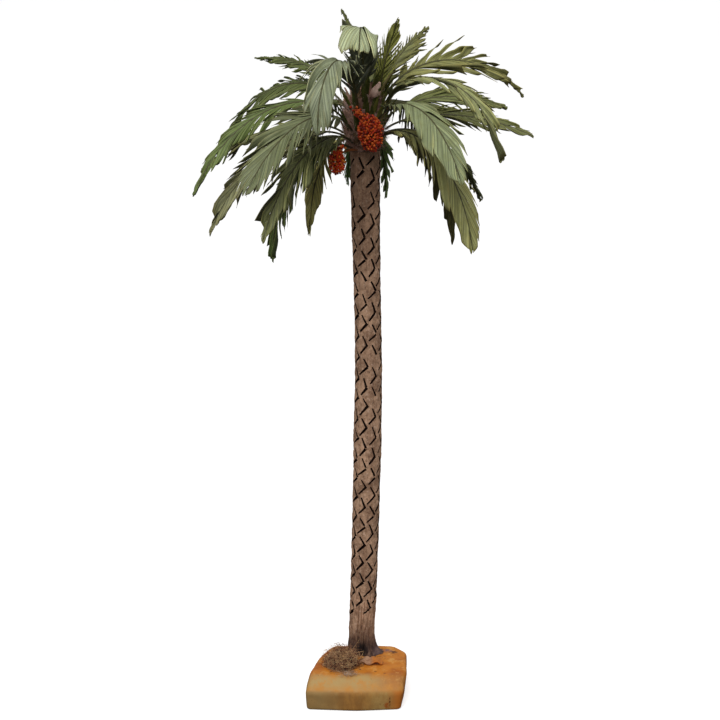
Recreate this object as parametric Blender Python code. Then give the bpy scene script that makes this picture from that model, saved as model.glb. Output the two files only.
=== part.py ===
"""A model palm tree on a painted block, made for a nativity scene.

Metres, +Z up, the front at -Y. The origin is the middle of the block's flat underside.
"""
import math
import random
from dataclasses import dataclass

import bmesh
import bpy
from mathutils import Matrix, Vector, noise
from mathutils.bvhtree import BVHTree

# The gap that touching pieces keep
GAP = 0.0003

# The block: its plan at the top and at the foot, from the front left corner round, seen from above
BLOCK_HEIGHT = 0.028
BLOCK_TOP = ((-0.0450, -0.0385), (0.0000, -0.0415), (0.0435, -0.0385), (0.0465, 0.0280),
             (0.0375, 0.0410), (-0.0265, 0.0410), (-0.0450, -0.0220))
BLOCK_FOOT = ((-0.0440, -0.0375), (0.0000, -0.0410), (0.0385, -0.0375), (0.0440, 0.0270),
              (0.0360, 0.0400), (-0.0255, 0.0400), (-0.0440, -0.0220))
BLOCK_FRONT_ROUND = 0.0115
BLOCK_SOFTNESS = {"front": 1.0, "rim": 0.42, "corner": 0.45, "foot": 0.2}

# The trunk: height, x, y and radius at the stations that its curve passes through
TRUNK_STATIONS = (
    (BLOCK_HEIGHT + GAP, 0.0042, 0.0270, 0.0122),
    (0.045, 0.0044, 0.0268, 0.0117),
    (0.095, 0.0064, 0.0258, 0.0118),
    (0.165, 0.0083, 0.0244, 0.0120),
    (0.235, 0.0096, 0.0230, 0.0122),
    (0.300, 0.0103, 0.0216, 0.0117),
    (0.380, 0.0088, 0.0196, 0.0116),
    (0.440, 0.0076, 0.0182, 0.0124),
    (0.485, 0.0074, 0.0170, 0.0126),
)
TRUNK_SIDES = 20
TRUNK_RINGS = 26
FLARE_REACH = 0.0075
FLARE_HEIGHT = 0.006
FLARE_AZIMUTH = -15

# The crown's heart, a bulb of frond bases on the trunk's top
TRUNK_TOP = TRUNK_STATIONS[-1][0]
HEART_X = 0.0065
HEART_Y = 0.0170
HEART_FOOT_RADIUS = 0.0130
HEART_RADIUS = 0.0170
HEART_BULGE = 0.020
HEART_HEIGHT = 0.056
HEART_SIDES = 20

# What lies on the block and hangs in the crown
SPATHE_AZIMUTH = -58
SPATHE_TIER = 0.046
SPATHE_LENGTH = 0.0125
SPATHE_RADIUS = 0.0034
FRONT_DATES = {"centre": (0.0115, -0.0095, 0.5030), "radii": (0.0108, 0.0078, 0.0165), "lean": -8,
               "root": (-88, 0.030)}
LEFT_DATES = {"centre": (-0.0162, -0.0055, 0.4780), "radii": (0.0072, 0.0064, 0.0100), "lean": 0,
              "root": (-114, 0.002)}
STALK_RADIUS = 0.0010
TUFT_CENTRE = (-0.0150, -0.0035)
TUFT_RADII = (0.0165, 0.0160, 0.0160)
CHIP_CENTRE = (0.0135, 0.0000)
CHIP_SIZE = (0.0200, 0.0090, 0.0042)

# What every frond shares
RIB_STEPS = 64
RIB_ROOT_HALF = 0.0012
RIB_TIP_HALF = 0.0006
RIB_THICKNESS = 0.0018
BLADE_THICKNESS = 0.0008
LEAFLETS = 9
BLADE_START = 0.10
BLADE_END = 0.80
LEAFLET_ANGLE = 42
TIP_ANGLE = 20
BASE_FUSED = 0.62
SHOULDER_OF_TIP = 0.985
PETIOLE_SHARES = (0.0, 0.03, 0.06)
CLEARANCE = 0.0020
TRIM_STEPS = 16
LEAST_SHARE = 0.25
SPLIT_OVER = 76
SPLIT_GAP = 0.0006


@dataclass(frozen=True)
class Frond:
    """One frond, by the way its rib leaves the heart and bends, and the width of its blade."""

    name: str
    azimuth: float  # degrees from +X round to +Y, where it leaves the heart
    tier: float  # height of its root above the trunk's top
    rise: float  # degrees above level at the root
    bend: float  # degrees that it turns down by its tip
    power: float  # below 1 it bends early, above 1 late
    length: float
    half_width: float
    fused: float  # share of each leaflet that is joined to the next
    fold: float = 8  # degrees that each half droops from the rib
    bank: float = 0  # degrees that the right half is raised, looking outwards
    sweep: float = 0  # degrees that it turns sideways by its tip


FRONDS = (
    Frond("front_left", -106, 0.034, 66, 158, 1.3, 0.164, 0.022, 0.88, fold=6),
    Frond("front_top", -93, 0.042, 89, 172, 1.8, 0.122, 0.016, 0.90, fold=6, bank=14),
    Frond("up_right", -20, 0.047, 83, 16, 0.9, 0.064, 0.010, 0.55, bank=62),
    Frond("back_right", 52, 0.042, 57, 36, 0.7, 0.092, 0.014, 0.30, fold=12),
    Frond("right_high", 33, 0.034, 88, 130, 0.5, 0.172, 0.025, 0.45, fold=-12, bank=-32),
    Frond("right_long", -39, 0.028, 88, 164, 0.7, 0.168, 0.016, 0.70, fold=10),
    Frond("right_light", -59, 0.022, 72, 120, 0.5, 0.172, 0.019, 0.90, fold=10, sweep=-12),
    Frond("right_olive", -47, 0.009, 62, 138, 0.5, 0.166, 0.018, 0.90, fold=12, sweep=-12),
    Frond("right_mid", -10, 0.018, 43, 66, 0.5, 0.127, 0.014, 0.75, bank=-30),
    Frond("right_short", 8, 0.026, 48, 70, 0.6, 0.108, 0.018, 0.55, bank=-20),
    Frond("right_behind", 32, 0.011, 38, 104, 0.5, 0.134, 0.016, 0.45, fold=14),
    Frond("right_under", 47, 0.005, 48, 138, 0.5, 0.168, 0.015, 0.60, fold=14),
    Frond("left_far", -151, 0.024, 74, 138, 0.5, 0.172, 0.013, 0.80, bank=12),
    Frond("left_high", 147, 0.032, 75, 135, 0.5, 0.160, 0.018, 0.55, bank=28),
    Frond("left_fan", -124, 0.018, 62, 110, 0.5, 0.164, 0.026, 0.75, fold=6, bank=8),
    Frond("left_low", -155, 0.012, 42, 108, 0.5, 0.156, 0.019, 0.78, bank=10),
    Frond("left_droop", -126, 0.008, 50, 116, 0.5, 0.152, 0.021, 0.75),
    Frond("left_hang", -137, 0.003, 38, 127, 0.6, 0.143, 0.015, 0.75, sweep=6),
    Frond("left_under", 117, 0.004, 24, 110, 0.6, 0.150, 0.012, 0.65, fold=12),
    Frond("left_back", 170, 0.014, 40, 84, 0.5, 0.136, 0.016, 0.55, fold=12),
    Frond("back_left", 148, 0.042, 52, 60, 0.7, 0.102, 0.010, 0.25, fold=12, bank=20),
    Frond("spike_left", 112, 0.048, 88, 72, 1.4, 0.080, 0.006, 0.60, fold=12),
    Frond("hang_left", 100, 0.006, 46, 130, 0.6, 0.098, 0.013, 0.45, fold=12),
    Frond("hang_right", 76, 0.006, 54, 144, 0.5, 0.104, 0.010, 0.50, fold=12),
    Frond("back_high", 88, 0.036, 74, 128, 0.7, 0.150, 0.020, 0.65, fold=12),
    Frond("back_mid_left", 114, 0.022, 62, 124, 0.5, 0.156, 0.020, 0.65, fold=12),
    Frond("back_mid_right", 66, 0.022, 62, 124, 0.5, 0.156, 0.020, 0.65, fold=12),
    Frond("back_low", 89, 0.014, 44, 116, 0.5, 0.150, 0.018, 0.65, fold=12),
)

# Colours in linear light, with roughness
OCHRE = ((0.45, 0.20, 0.05), 0.62)
BARK = ((0.16, 0.09, 0.06), 0.78)
PINK_FIBRE = ((0.30, 0.17, 0.13), 0.80)
DATE_RED = ((0.36, 0.05, 0.01), 0.40)
DRY_MOSS = ((0.14, 0.08, 0.03), 0.90)
PALE_CHIP = ((0.50, 0.27, 0.14), 0.75)
SAGE = ((0.20, 0.25, 0.13), 0.60)
OLIVE = ((0.09, 0.10, 0.03), 0.65)
SAGE_FRONDS = ("front_left", "front_top", "right_light", "right_olive", "right_long", "left_fan")


def clear_scene():
    for item in list(bpy.data.objects):
        bpy.data.objects.remove(item, do_unlink=True)


def material(name, look):
    colour, roughness = look
    result = bpy.data.materials.new(name)
    result.use_nodes = True
    shader = result.node_tree.nodes["Principled BSDF"]
    shader.inputs["Base Color"].default_value = (*colour, 1)
    shader.inputs["Roughness"].default_value = roughness
    shader.inputs["Metallic"].default_value = 0
    return result


def add_object(name, bm, look, smooth=True):
    """Turn a bmesh into the named object, with its own material."""
    mesh = bpy.data.meshes.new(name)
    bm.to_mesh(mesh)
    bm.free()
    mesh.materials.append(material(name, look))
    if smooth:
        mesh.shade_smooth()
        mesh.set_sharp_from_angle(angle=math.radians(40))
    result = bpy.data.objects.new(name, mesh)
    bpy.context.scene.collection.objects.link(result)
    return result


def loft(bm, rings):
    """Skin a row of equal rings of points, and close both ends with flat faces."""
    loops = [[bm.verts.new(point) for point in ring] for ring in rings]
    sides = len(loops[0])
    for low, high in zip(loops, loops[1:]):
        for i in range(sides):
            j = (i + 1) % sides
            bm.faces.new((low[i], low[j], high[j], high[i]))
    bm.faces.new(reversed(loops[0]))
    bm.faces.new(loops[-1])


def circle(centre, radius, sides, across=Vector((1, 0, 0)), up=Vector((0, 1, 0))):
    turn = 2 * math.pi / sides
    return [centre + across * radius * math.cos(turn * i) + up * radius * math.sin(turn * i) for i in range(sides)]


def build_block():
    """The block: sides from the foot's plan to the top's, its front top edge rounded further than the rest."""
    bm = bmesh.new()
    foot = [bm.verts.new((x, y, 0)) for x, y in BLOCK_FOOT]
    top = [bm.verts.new((x, y, BLOCK_HEIGHT)) for x, y in BLOCK_TOP]
    bm.faces.new(reversed(foot))
    bm.faces.new(top)
    for i in range(len(foot)):
        j = (i + 1) % len(foot)
        bm.faces.new((foot[i], foot[j], top[j], top[i]))
    weights = bm.edges.layers.float.new("bevel_weight_edge")
    for edge in bm.edges:
        low, high = sorted(vert.co.z for vert in edge.verts)
        if high == 0:
            kind = "foot"
        elif low == 0:
            kind = "corner"
        else:
            kind = "front" if max(vert.co.y for vert in edge.verts) < -0.03 else "rim"
        edge[weights] = BLOCK_SOFTNESS[kind]
    block = add_object("base_block", bm, OCHRE)
    bevel = block.modifiers.new("soft edges", "BEVEL")
    bevel.limit_method = "WEIGHT"
    bevel.width = BLOCK_FRONT_ROUND
    bevel.segments = 3
    return block


def trunk_at(z):
    """Centre and radius of the trunk at a height, on a smooth curve through its stations."""
    rows = TRUNK_STATIONS
    k = max(0, min(len(rows) - 2, sum(1 for row in rows if row[0] <= z) - 1))
    before, low, high, after = rows[max(0, k - 1)], rows[k], rows[k + 1], rows[min(len(rows) - 1, k + 2)]
    t = (z - low[0]) / (high[0] - low[0])
    values = []
    for i in (1, 2, 3):
        start = (high[i] - before[i]) * (high[0] - low[0]) / (high[0] - before[0])
        end = (after[i] - low[i]) * (high[0] - low[0]) / (after[0] - low[0])
        drop = low[i] - high[i]
        cubic = 2 * drop + start + end
        square = -3 * drop - 2 * start - end
        values.append(((cubic * t + square) * t + start) * t + low[i])
    return Vector((values[0], values[1], z)), values[2]


def build_trunk():
    """The trunk, leaning and tapering from a flat cut on the block, with its toe of root to the right."""
    foot = TRUNK_STATIONS[0][0]
    rings = []
    for i in range(TRUNK_RINGS + 1):
        z = foot + (TRUNK_TOP - foot) * (i / TRUNK_RINGS) ** 1.25
        centre, radius = trunk_at(z)
        swell = math.exp(-(z - foot) / FLARE_HEIGHT)
        ring = []
        for j in range(TRUNK_SIDES):
            angle = 2 * math.pi * j / TRUNK_SIDES
            toe = max(0.0, math.cos(angle - math.radians(FLARE_AZIMUTH))) ** 2
            reach = radius + swell * (0.001 + FLARE_REACH * toe)
            ring.append(centre + Vector((math.cos(angle), math.sin(angle), 0)) * reach)
        rings.append(ring)
    bm = bmesh.new()
    loft(bm, rings)
    return add_object("trunk", bm, BARK)


def heart_radius(height):
    """Radius of the heart at a height above the trunk's top."""
    if height < HEART_BULGE:
        t = max(0.0, height / HEART_BULGE)
        return HEART_FOOT_RADIUS + (HEART_RADIUS - HEART_FOOT_RADIUS) * math.sin(t * math.pi / 2)
    t = min(1.0, (height - HEART_BULGE) / (HEART_HEIGHT - HEART_BULGE))
    return HEART_RADIUS * math.sqrt(max(0.0, 1 - t ** 2.2))


def build_heart():
    heights = [GAP + (HEART_HEIGHT - GAP - 0.0005) * math.sin(i / 12 * math.pi / 2) for i in range(13)]
    bm = bmesh.new()
    loft(bm, [circle(Vector((HEART_X, HEART_Y, TRUNK_TOP + h)), heart_radius(h), HEART_SIDES) for h in heights])
    return add_object("crown_heart", bm, PINK_FIBRE)


def heart_point(azimuth, tier, off):
    angle = math.radians(azimuth)
    reach = heart_radius(tier) + off
    return Vector((HEART_X + reach * math.cos(angle), HEART_Y + reach * math.sin(angle), TRUNK_TOP + tier))


def build_spathe():
    """The pale stub of a flower sheath, standing on the heart's shoulder."""
    angle = math.radians(SPATHE_AZIMUTH)
    slope = (heart_radius(SPATHE_TIER - 0.001) - heart_radius(SPATHE_TIER + 0.001)) / 0.002
    out = Vector((math.cos(angle), math.sin(angle), slope)).normalized()
    across = Vector((-math.sin(angle), math.cos(angle), 0))
    foot = heart_point(SPATHE_AZIMUTH, SPATHE_TIER, 0) + out * 2 * GAP
    lean = Vector((0, 0, 1)) * 1.1
    rings = []
    for i in range(6):
        t = i / 5
        axis = (out + lean * t).normalized()
        side = axis.cross(across)
        radius = SPATHE_RADIUS * (0.75 + 0.5 * math.sin(math.pi * min(1, t * 1.1))) * (1 - 0.55 * t ** 3)
        rings.append(circle(foot + (out * t + lean * t * t * 0.5) * SPATHE_LENGTH, radius, 10, across, -side))
    bm = bmesh.new()
    loft(bm, rings)
    bmesh.ops.recalc_face_normals(bm, faces=bm.faces)
    return add_object("spathe_stub", bm, PINK_FIBRE)


def build_dates(name, bunch):
    """A bunch of small dates as one knobbly body, joined to the stalk that it hangs on from the heart."""
    centre = Vector(bunch["centre"])
    bm = bmesh.new()
    bmesh.ops.create_icosphere(bm, subdivisions=3, radius=1)
    for vert in bm.verts:
        knob = noise.noise(vert.co * 4.5 + centre * 300) * 0.16
        vert.co = Vector(tuple(vert.co[i] * bunch["radii"][i] for i in range(3))) * (0.96 + knob)
    bmesh.ops.rotate(bm, verts=bm.verts, cent=(0, 0, 0), matrix=Matrix.Rotation(math.radians(bunch["lean"]), 3, "Y"))
    bmesh.ops.translate(bm, verts=bm.verts, vec=centre)
    dates = add_object(name, bm, DATE_RED)
    start = heart_point(*bunch["root"], GAP + STALK_RADIUS * 0.6)
    end = centre + Vector((0, 0, bunch["radii"][2] * 0.7))
    top = start.lerp(end, 0.5) + Vector((0, 0, 0.004))
    points = [start * (1 - t) ** 2 + top * 2 * t * (1 - t) + end * t * t for t in (0, 0.25, 0.5, 0.75, 1)]
    along = [(points[min(i + 1, 4)] - points[max(i - 1, 0)]).normalized() for i in range(5)]
    bm = bmesh.new()
    rings = []
    for point, axis in zip(points, along):
        across = axis.cross(Vector((0, 0, 1))).normalized()
        rings.append(circle(point, STALK_RADIUS, 8, across, across.cross(axis)))
    loft(bm, rings)
    bmesh.ops.recalc_face_normals(bm, faces=bm.faces)
    stem = add_object(name + "_stalk", bm, DATE_RED)
    union = dates.modifiers.new("stalk", "BOOLEAN")
    union.operation = "UNION"
    union.object = stem
    bake(dates)
    bpy.data.objects.remove(stem, do_unlink=True)
    return dates


def bake(item):
    """Replace an object's mesh with the one that its modifiers make."""
    made = bpy.data.meshes.new_from_object(item.evaluated_get(bpy.context.evaluated_depsgraph_get()))
    item.modifiers.clear()
    item.data = made


def build_tuft():
    """The tuft of dry fibre on the block, as one lumpy mound with a flat foot."""
    bm = bmesh.new()
    bmesh.ops.create_icosphere(bm, subdivisions=3, radius=1)
    for vert in bm.verts:
        lump = 1 + 0.22 * noise.noise(vert.co * 2.3 + Vector((5, 1, 3)))
        vert.co = Vector(tuple(vert.co[i] * TUFT_RADII[i] * lump for i in range(3)))
    below = bmesh.ops.bisect_plane(bm, geom=list(bm.verts) + list(bm.edges) + list(bm.faces),
                                   plane_co=(0, 0, 0.0006), plane_no=(0, 0, -1), clear_outer=True)
    bmesh.ops.contextual_create(bm, geom=[item for item in below["geom_cut"] if isinstance(item, bmesh.types.BMEdge)])
    bmesh.ops.translate(bm, verts=bm.verts, vec=(*TUFT_CENTRE, BLOCK_HEIGHT + GAP - 0.0006))
    bmesh.ops.recalc_face_normals(bm, faces=bm.faces)
    return add_object("fibre_tuft", bm, DRY_MOSS)


def build_chip():
    """The pale chip that lies in front of the trunk, a little bowed along its length."""
    bm = bmesh.new()
    length, depth, thick = CHIP_SIZE
    rings = []
    for i in range(7):
        t = i / 6
        taper = 0.55 + 0.45 * math.sin(math.pi * min(1, 0.15 + t * 0.8))
        bow = 0.0006 * math.sin(math.pi * t)
        low, high = bow, bow + thick * (0.6 + 0.4 * math.sin(math.pi * t))
        half = depth / 2 * taper
        x = (t - 0.5) * length
        rings.append([Vector((x, -half, low)), Vector((x, half, low)), Vector((x, half * 0.6, high)),
                      Vector((x, -half * 0.6, high))])
    loft(bm, rings)
    bmesh.ops.rotate(bm, verts=bm.verts, cent=(0, 0, 0), matrix=Matrix.Rotation(math.radians(-4), 3, "Z"))
    bmesh.ops.translate(bm, verts=bm.verts, vec=(*CHIP_CENTRE, BLOCK_HEIGHT + GAP))
    bmesh.ops.recalc_face_normals(bm, faces=bm.faces)
    return add_object("foot_chip", bm, PALE_CHIP, smooth=False)


class Rib:
    """A frond's rib as a curve with a frame: along it, to its right, and up out of the blade."""

    def __init__(self, frond):
        self.frond = frond
        rise = math.radians(frond.rise)
        self.points = [heart_point(frond.azimuth, frond.tier, GAP + RIB_THICKNESS / 2 * math.sin(rise) + 0.0001)]
        self.frames = []
        step = frond.length / RIB_STEPS
        for i in range(RIB_STEPS + 1):
            t = i / RIB_STEPS
            slope = math.radians(frond.rise - frond.bend * t ** frond.power)
            turn = math.radians(frond.azimuth + frond.sweep * t)
            out = Vector((math.cos(turn), math.sin(turn), 0))
            along = out * math.cos(slope) + Vector((0, 0, math.sin(slope)))
            right = Vector((out.y, -out.x, 0))
            bank = math.radians(frond.bank) * min(1, t / 0.35)
            above = right.cross(along)
            self.frames.append((along, right * math.cos(bank) + above * math.sin(bank),
                                above * math.cos(bank) - right * math.sin(bank)))
        for i in range(RIB_STEPS):
            middle = (self.frames[i][0] + self.frames[i + 1][0]) / 2
            self.points.append(self.points[-1] + middle * step)

    def point(self, along, aside, lift=0.0):
        """A point of the blade, at a distance along the rib and to the right of it."""
        u = min(max(along / self.frond.length, 0), 1) * RIB_STEPS
        k = min(int(u), RIB_STEPS - 1)
        centre = self.points[k].lerp(self.points[k + 1], u - k)
        forward, right, above = (a.lerp(b, u - k) for a, b in zip(self.frames[k], self.frames[k + 1]))
        centre = centre + forward * max(0.0, along - self.frond.length)
        droop = math.radians(self.frond.fold)
        return centre + right * aside * math.cos(droop) + above * (lift - abs(aside) * math.sin(droop))

    def half(self, along):
        return RIB_ROOT_HALF + (RIB_TIP_HALF - RIB_ROOT_HALF) * min(1, along / self.frond.length)


def blade_half(frond, t):
    """Half the blade's width at a share t of the rib: it swells from the root and rounds off at the tip."""
    if t < 0.45:
        k = max(0.0, (t - 0.06) / 0.39)
        return frond.half_width * (0.35 + 0.65 * (k * k * (3 - 2 * k)) ** 0.7)
    k = min(1.0, max(0.0, (t - 0.55) / 0.47))
    return frond.half_width * (1 - k ** 2.2) ** 0.6


class Half:
    """One half of a blade: the lines that part its leaflets, and how far each leaflet reaches."""

    def __init__(self, rib, side):
        frond = rib.frond
        chance = random.Random(f"{frond.name} {side}")
        self.rib = rib
        self.side = side
        shares = [BLADE_START + (BLADE_END - BLADE_START) * i / LEAFLETS for i in range(LEAFLETS + 1)]
        self.starts = [frond.length * t for t in shares]
        step = (TIP_ANGLE - LEAFLET_ANGLE) / (BLADE_END - BLADE_START)
        self.angles = [math.radians(LEAFLET_ANGLE + step * (t - BLADE_START)) for t in shares]
        self.reach = [self.to_outline(i) * chance.uniform(0.92, 1.06) for i in range(LEAFLETS + 1)]
        self.fused = [min(0.88, frond.fused * (BASE_FUSED + t * 0.7) * chance.uniform(0.88, 1.10)) for t in shares]
        self.tips = [chance.uniform(1.0, 1.1) for _ in shares]
        self.lifts = [chance.uniform(-0.05, 0.05) for _ in shares]
        self.shares = [1.0] * LEAFLETS

    def to_outline(self, i):
        """Distance along line i from the rib to the blade's outline."""
        frond, low, high = self.rib.frond, 0.0, 3 * self.rib.frond.half_width
        for _ in range(24):
            middle = (low + high) / 2
            t = (self.starts[i] + middle * math.cos(self.angles[i])) / frond.length
            if middle * math.sin(self.angles[i]) < blade_half(frond, t):
                low = middle
            else:
                high = middle
        return low

    def flat(self, i, distance):
        """A point of line i in the flat blade: along the rib, and out from its middle."""
        out = self.rib.half(self.starts[i]) + distance * math.sin(self.angles[i])
        return Vector((self.starts[i] + distance * math.cos(self.angles[i]), out))

    def bent(self, flat, lift=0.0):
        return self.rib.point(flat.x, self.side * flat.y, lift)

    def trim(self, others):
        """Shorten each leaflet to where it would come near another piece."""
        for i in range(LEAFLETS):
            clear = 0
            for k in range(1, TRIM_STEPS + 1):
                share = k / TRIM_STEPS * 1.04
                low = self.flat(i, self.reach[i] * share)
                high = self.flat(i + 1, self.reach[i + 1] * share)
                if any(others.find_nearest(self.bent(low.lerp(high, j / 4)), CLEARANCE)[0] for j in range(5)):
                    break
                clear = k
            share = clear / TRIM_STEPS
            self.shares[i] = share if share >= LEAST_SHARE else 0.0

    def web(self, i):
        """How far out along line i the leaflets on both sides of it are joined."""
        beside = [self.shares[j] for j in (i - 1, i) if 0 <= j < LEAFLETS and self.shares[j] > 0]
        return self.reach[i] * self.fused[i] * min(beside, default=1.0)

    def leaflet(self, i):
        """The shoulder and the tip of leaflet i, with the lift of its end."""
        share = self.shares[i]
        lift = self.lifts[i] * self.reach[i] * share
        root = self.web(i)
        distance = root + max(0.0, self.reach[i] * share - root) * 0.8
        loose = 0.10 + 0.30 * (1 - self.rib.frond.fused)
        shoulder = self.flat(i, distance).lerp(self.flat(i + 1, distance), loose)
        tip = self.flat(i + 1, max(self.web(i + 1) * 1.04, self.reach[i + 1] * share * self.tips[i]))
        return self.bent(shoulder, lift * 0.7), self.bent(tip, lift)


def blade_sheet(rib, halves, first, last, with_root, with_tip):
    """The faces of a blade from line first to line last, as points, with True for those of the rib."""
    length = rib.frond.length
    stations = [length * t for t in PETIOLE_SHARES] if with_root else []
    start = len(stations)
    stations += [halves[0].starts[i] + (0 if with_root or i > first else SPLIT_GAP) for i in range(first, last + 1)]
    if with_tip:
        stations += [length * 0.92, length]
    spine = {}
    for half in halves:
        row = [half.bent(Vector((s, rib.half(s)))) for s in stations]
        spine[half.side] = row
    faces = [(True, (spine[-1][j], spine[1][j], spine[1][j + 1], spine[-1][j + 1])) for j in range(len(stations) - 1)]
    for half in halves:
        row = spine[half.side]
        for i in range(first, last):
            if half.shares[i] == 0:
                continue
            j = start + i - first
            near, far = half.flat(i, half.web(i)), half.flat(i + 1, half.web(i + 1))
            if i == first and not with_root:
                near.x += SPLIT_GAP
            near, far = half.bent(near), half.bent(far)
            shoulder, tip = half.leaflet(i)
            faces.append((half.side, (row[j], near, far, row[j + 1])))
            faces.append((half.side, (near, shoulder, tip, far)))
        if with_tip:
            j = start + last - first
            web = half.bent(half.flat(LEAFLETS, half.web(LEAFLETS)))
            edge = half.bent(Vector((length * SHOULDER_OF_TIP, blade_half(rib.frond, SHOULDER_OF_TIP) * 0.9)))
            faces.append((half.side, (row[j], web, edge, row[j + 1])))
            faces.append((half.side, (row[j + 1], edge, row[j + 2])))
    return faces


def build_blade(name, faces, look):
    """A blade's sheet made solid, thick at the rib and thin in its leaflets."""
    bm = bmesh.new()
    weights = bm.verts.layers.deform.verify()
    made = {}

    def vert(point, weight):
        key = tuple(round(value * 1e6) for value in point)
        if key not in made:
            made[key] = bm.verts.new(point)
            made[key][weights][0] = weight
        return made[key]

    for side, points in faces:
        order = [vert(point, 1.0 if side is True else 0.0) for point in points]
        bm.faces.new(order if side is True or side > 0 else reversed(order))
    blade = add_object(name, bm, look)
    group = blade.vertex_groups.new(name="rib")
    solid = blade.modifiers.new("thickness", "SOLIDIFY")
    solid.thickness = RIB_THICKNESS
    solid.offset = 0
    solid.vertex_group = group.name
    solid.thickness_vertex_group = BLADE_THICKNESS / RIB_THICKNESS
    return blade


def tree_of(faces, meshes):
    """A search tree of loose faces and of whole objects."""
    points, polygons = [], []
    for _, corners in faces:
        polygons.append(range(len(points), len(points) + len(corners)))
        points.extend(corners)
    for item in meshes:
        polygons += [[len(points) + i for i in polygon.vertices] for polygon in item.data.polygons]
        points.extend(vert.co for vert in item.data.vertices)
    return BVHTree.FromPolygons(points, [list(polygon) for polygon in polygons])


def split_line(frond):
    """The line between leaflets where a frond that bends far is parted, or None."""
    if frond.bend <= SPLIT_OVER:
        return None
    middle = 0.5 ** (1 / frond.power)
    line = round((middle - BLADE_START) / (BLADE_END - BLADE_START) * LEAFLETS)
    return max(1, min(LEAFLETS - 2, line))


def build_fronds(solids):
    """All fronds, each leaflet kept clear of the pieces and the fronds made before it."""
    ribs = [Rib(frond) for frond in FRONDS]
    halves = {rib.frond.name: [Half(rib, side) for side in (-1, 1)] for rib in ribs}
    bare = {}
    for rib in ribs:
        sides = halves[rib.frond.name]
        for half in sides:
            half.shares = [0.0] * LEAFLETS
        bare[rib.frond.name] = blade_sheet(rib, sides, 0, LEAFLETS, True, True)
    placed = []
    for rib in ribs:
        frond = rib.frond
        sides = halves[frond.name]
        rest = [face for name, faces in bare.items() if name != frond.name for face in faces]
        others = tree_of(rest + placed, solids)
        for half in sides:
            half.trim(others)
        placed += blade_sheet(rib, sides, 0, LEAFLETS, True, True)
        look = SAGE if frond.name in SAGE_FRONDS else OLIVE
        line = split_line(frond)
        name = f"frond_{frond.name}"
        if line is None:
            build_blade(name, blade_sheet(rib, sides, 0, LEAFLETS, True, True), look)
        else:
            build_blade(name + "_inner", blade_sheet(rib, sides, 0, line, True, False), look)
            build_blade(name + "_outer", blade_sheet(rib, sides, line, LEAFLETS, False, True), look)
        skipped = sum(half.shares.count(0) for half in sides)
        short = sum(1 for half in sides for share in half.shares if 0 < share < 1)
        print(f"{frond.name}: {skipped} leaflets left out, {short} shortened")


def main():
    clear_scene()
    build_block()
    trunk = build_trunk()
    heart = build_heart()
    spathe = build_spathe()
    front = build_dates("date_bunch_front", FRONT_DATES)
    left = build_dates("date_bunch_left", LEFT_DATES)
    build_tuft()
    build_chip()
    build_fronds([trunk, heart, spathe, front, left])


main()
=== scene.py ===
import random
from math import cos, exp, pi, radians, sin, sqrt

import bmesh
import bpy
import numpy as np
from mathutils import Matrix, Vector, noise
from mathutils.bvhtree import BVHTree


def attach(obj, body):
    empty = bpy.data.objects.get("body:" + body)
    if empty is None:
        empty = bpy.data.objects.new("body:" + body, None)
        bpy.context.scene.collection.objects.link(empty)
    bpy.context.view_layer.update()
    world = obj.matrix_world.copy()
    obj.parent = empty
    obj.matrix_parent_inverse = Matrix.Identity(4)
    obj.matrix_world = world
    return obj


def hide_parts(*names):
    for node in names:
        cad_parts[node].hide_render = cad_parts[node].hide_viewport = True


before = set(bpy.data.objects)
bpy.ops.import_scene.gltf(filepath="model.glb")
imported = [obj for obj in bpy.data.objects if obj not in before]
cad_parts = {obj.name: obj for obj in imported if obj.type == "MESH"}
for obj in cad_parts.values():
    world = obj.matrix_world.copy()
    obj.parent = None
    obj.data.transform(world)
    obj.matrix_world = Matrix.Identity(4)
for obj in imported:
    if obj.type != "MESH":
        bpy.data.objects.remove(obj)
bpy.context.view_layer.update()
seed = 71
upright = Vector((0, 0, 1))


def report(stage):
    print("palm:", stage)


def linear(red, green, blue):  # a screen colour in linear light
    shares = [value / 255 for value in (red, green, blue)]
    return tuple(s / 12.92 if s <= 0.04045 else ((s + 0.055) / 1.055) ** 2.4 for s in shares)


def smooth(value, low=0.0, high=1.0):
    t = min(1.0, max(0.0, (value - low) / (high - low)))
    return t * t * (3 - 2 * t)


def blendOf(first, second, share):
    return first + (second - first) * share


def outward(azimuth):  # a level vector at an azimuth in radians
    return Vector((cos(azimuth), sin(azimuth), 0))


def scatter(draw, *limits):  # a vector of three random draws
    return Vector([draw(*limits) for _ in range(3)])


# Shader nodes written as plain arithmetic
class Wire:
    def __init__(self, paint, socket):
        self.paint, self.socket = paint, socket

    def maths(self, operation, *values):
        return self.paint.node("ShaderNodeMath", dict(enumerate(values)), operation=operation)

    def __add__(self, other):
        return self.maths("ADD", self, other)

    def __sub__(self, other):
        return self.maths("SUBTRACT", self, other)

    def __rsub__(self, other):
        return self.maths("SUBTRACT", other, self)

    def __mul__(self, other):
        return self.maths("MULTIPLY", self, other)

    def __abs__(self):
        return self.maths("ABSOLUTE", self)

    def over(self, low, high, bottom=0.0, top=1.0):  # a smooth step from low to high
        values = {0: self, 1: low, 2: high, 3: bottom, 4: top}
        return self.paint.node("ShaderNodeMapRange", values, interpolation_type="SMOOTHSTEP")


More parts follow.
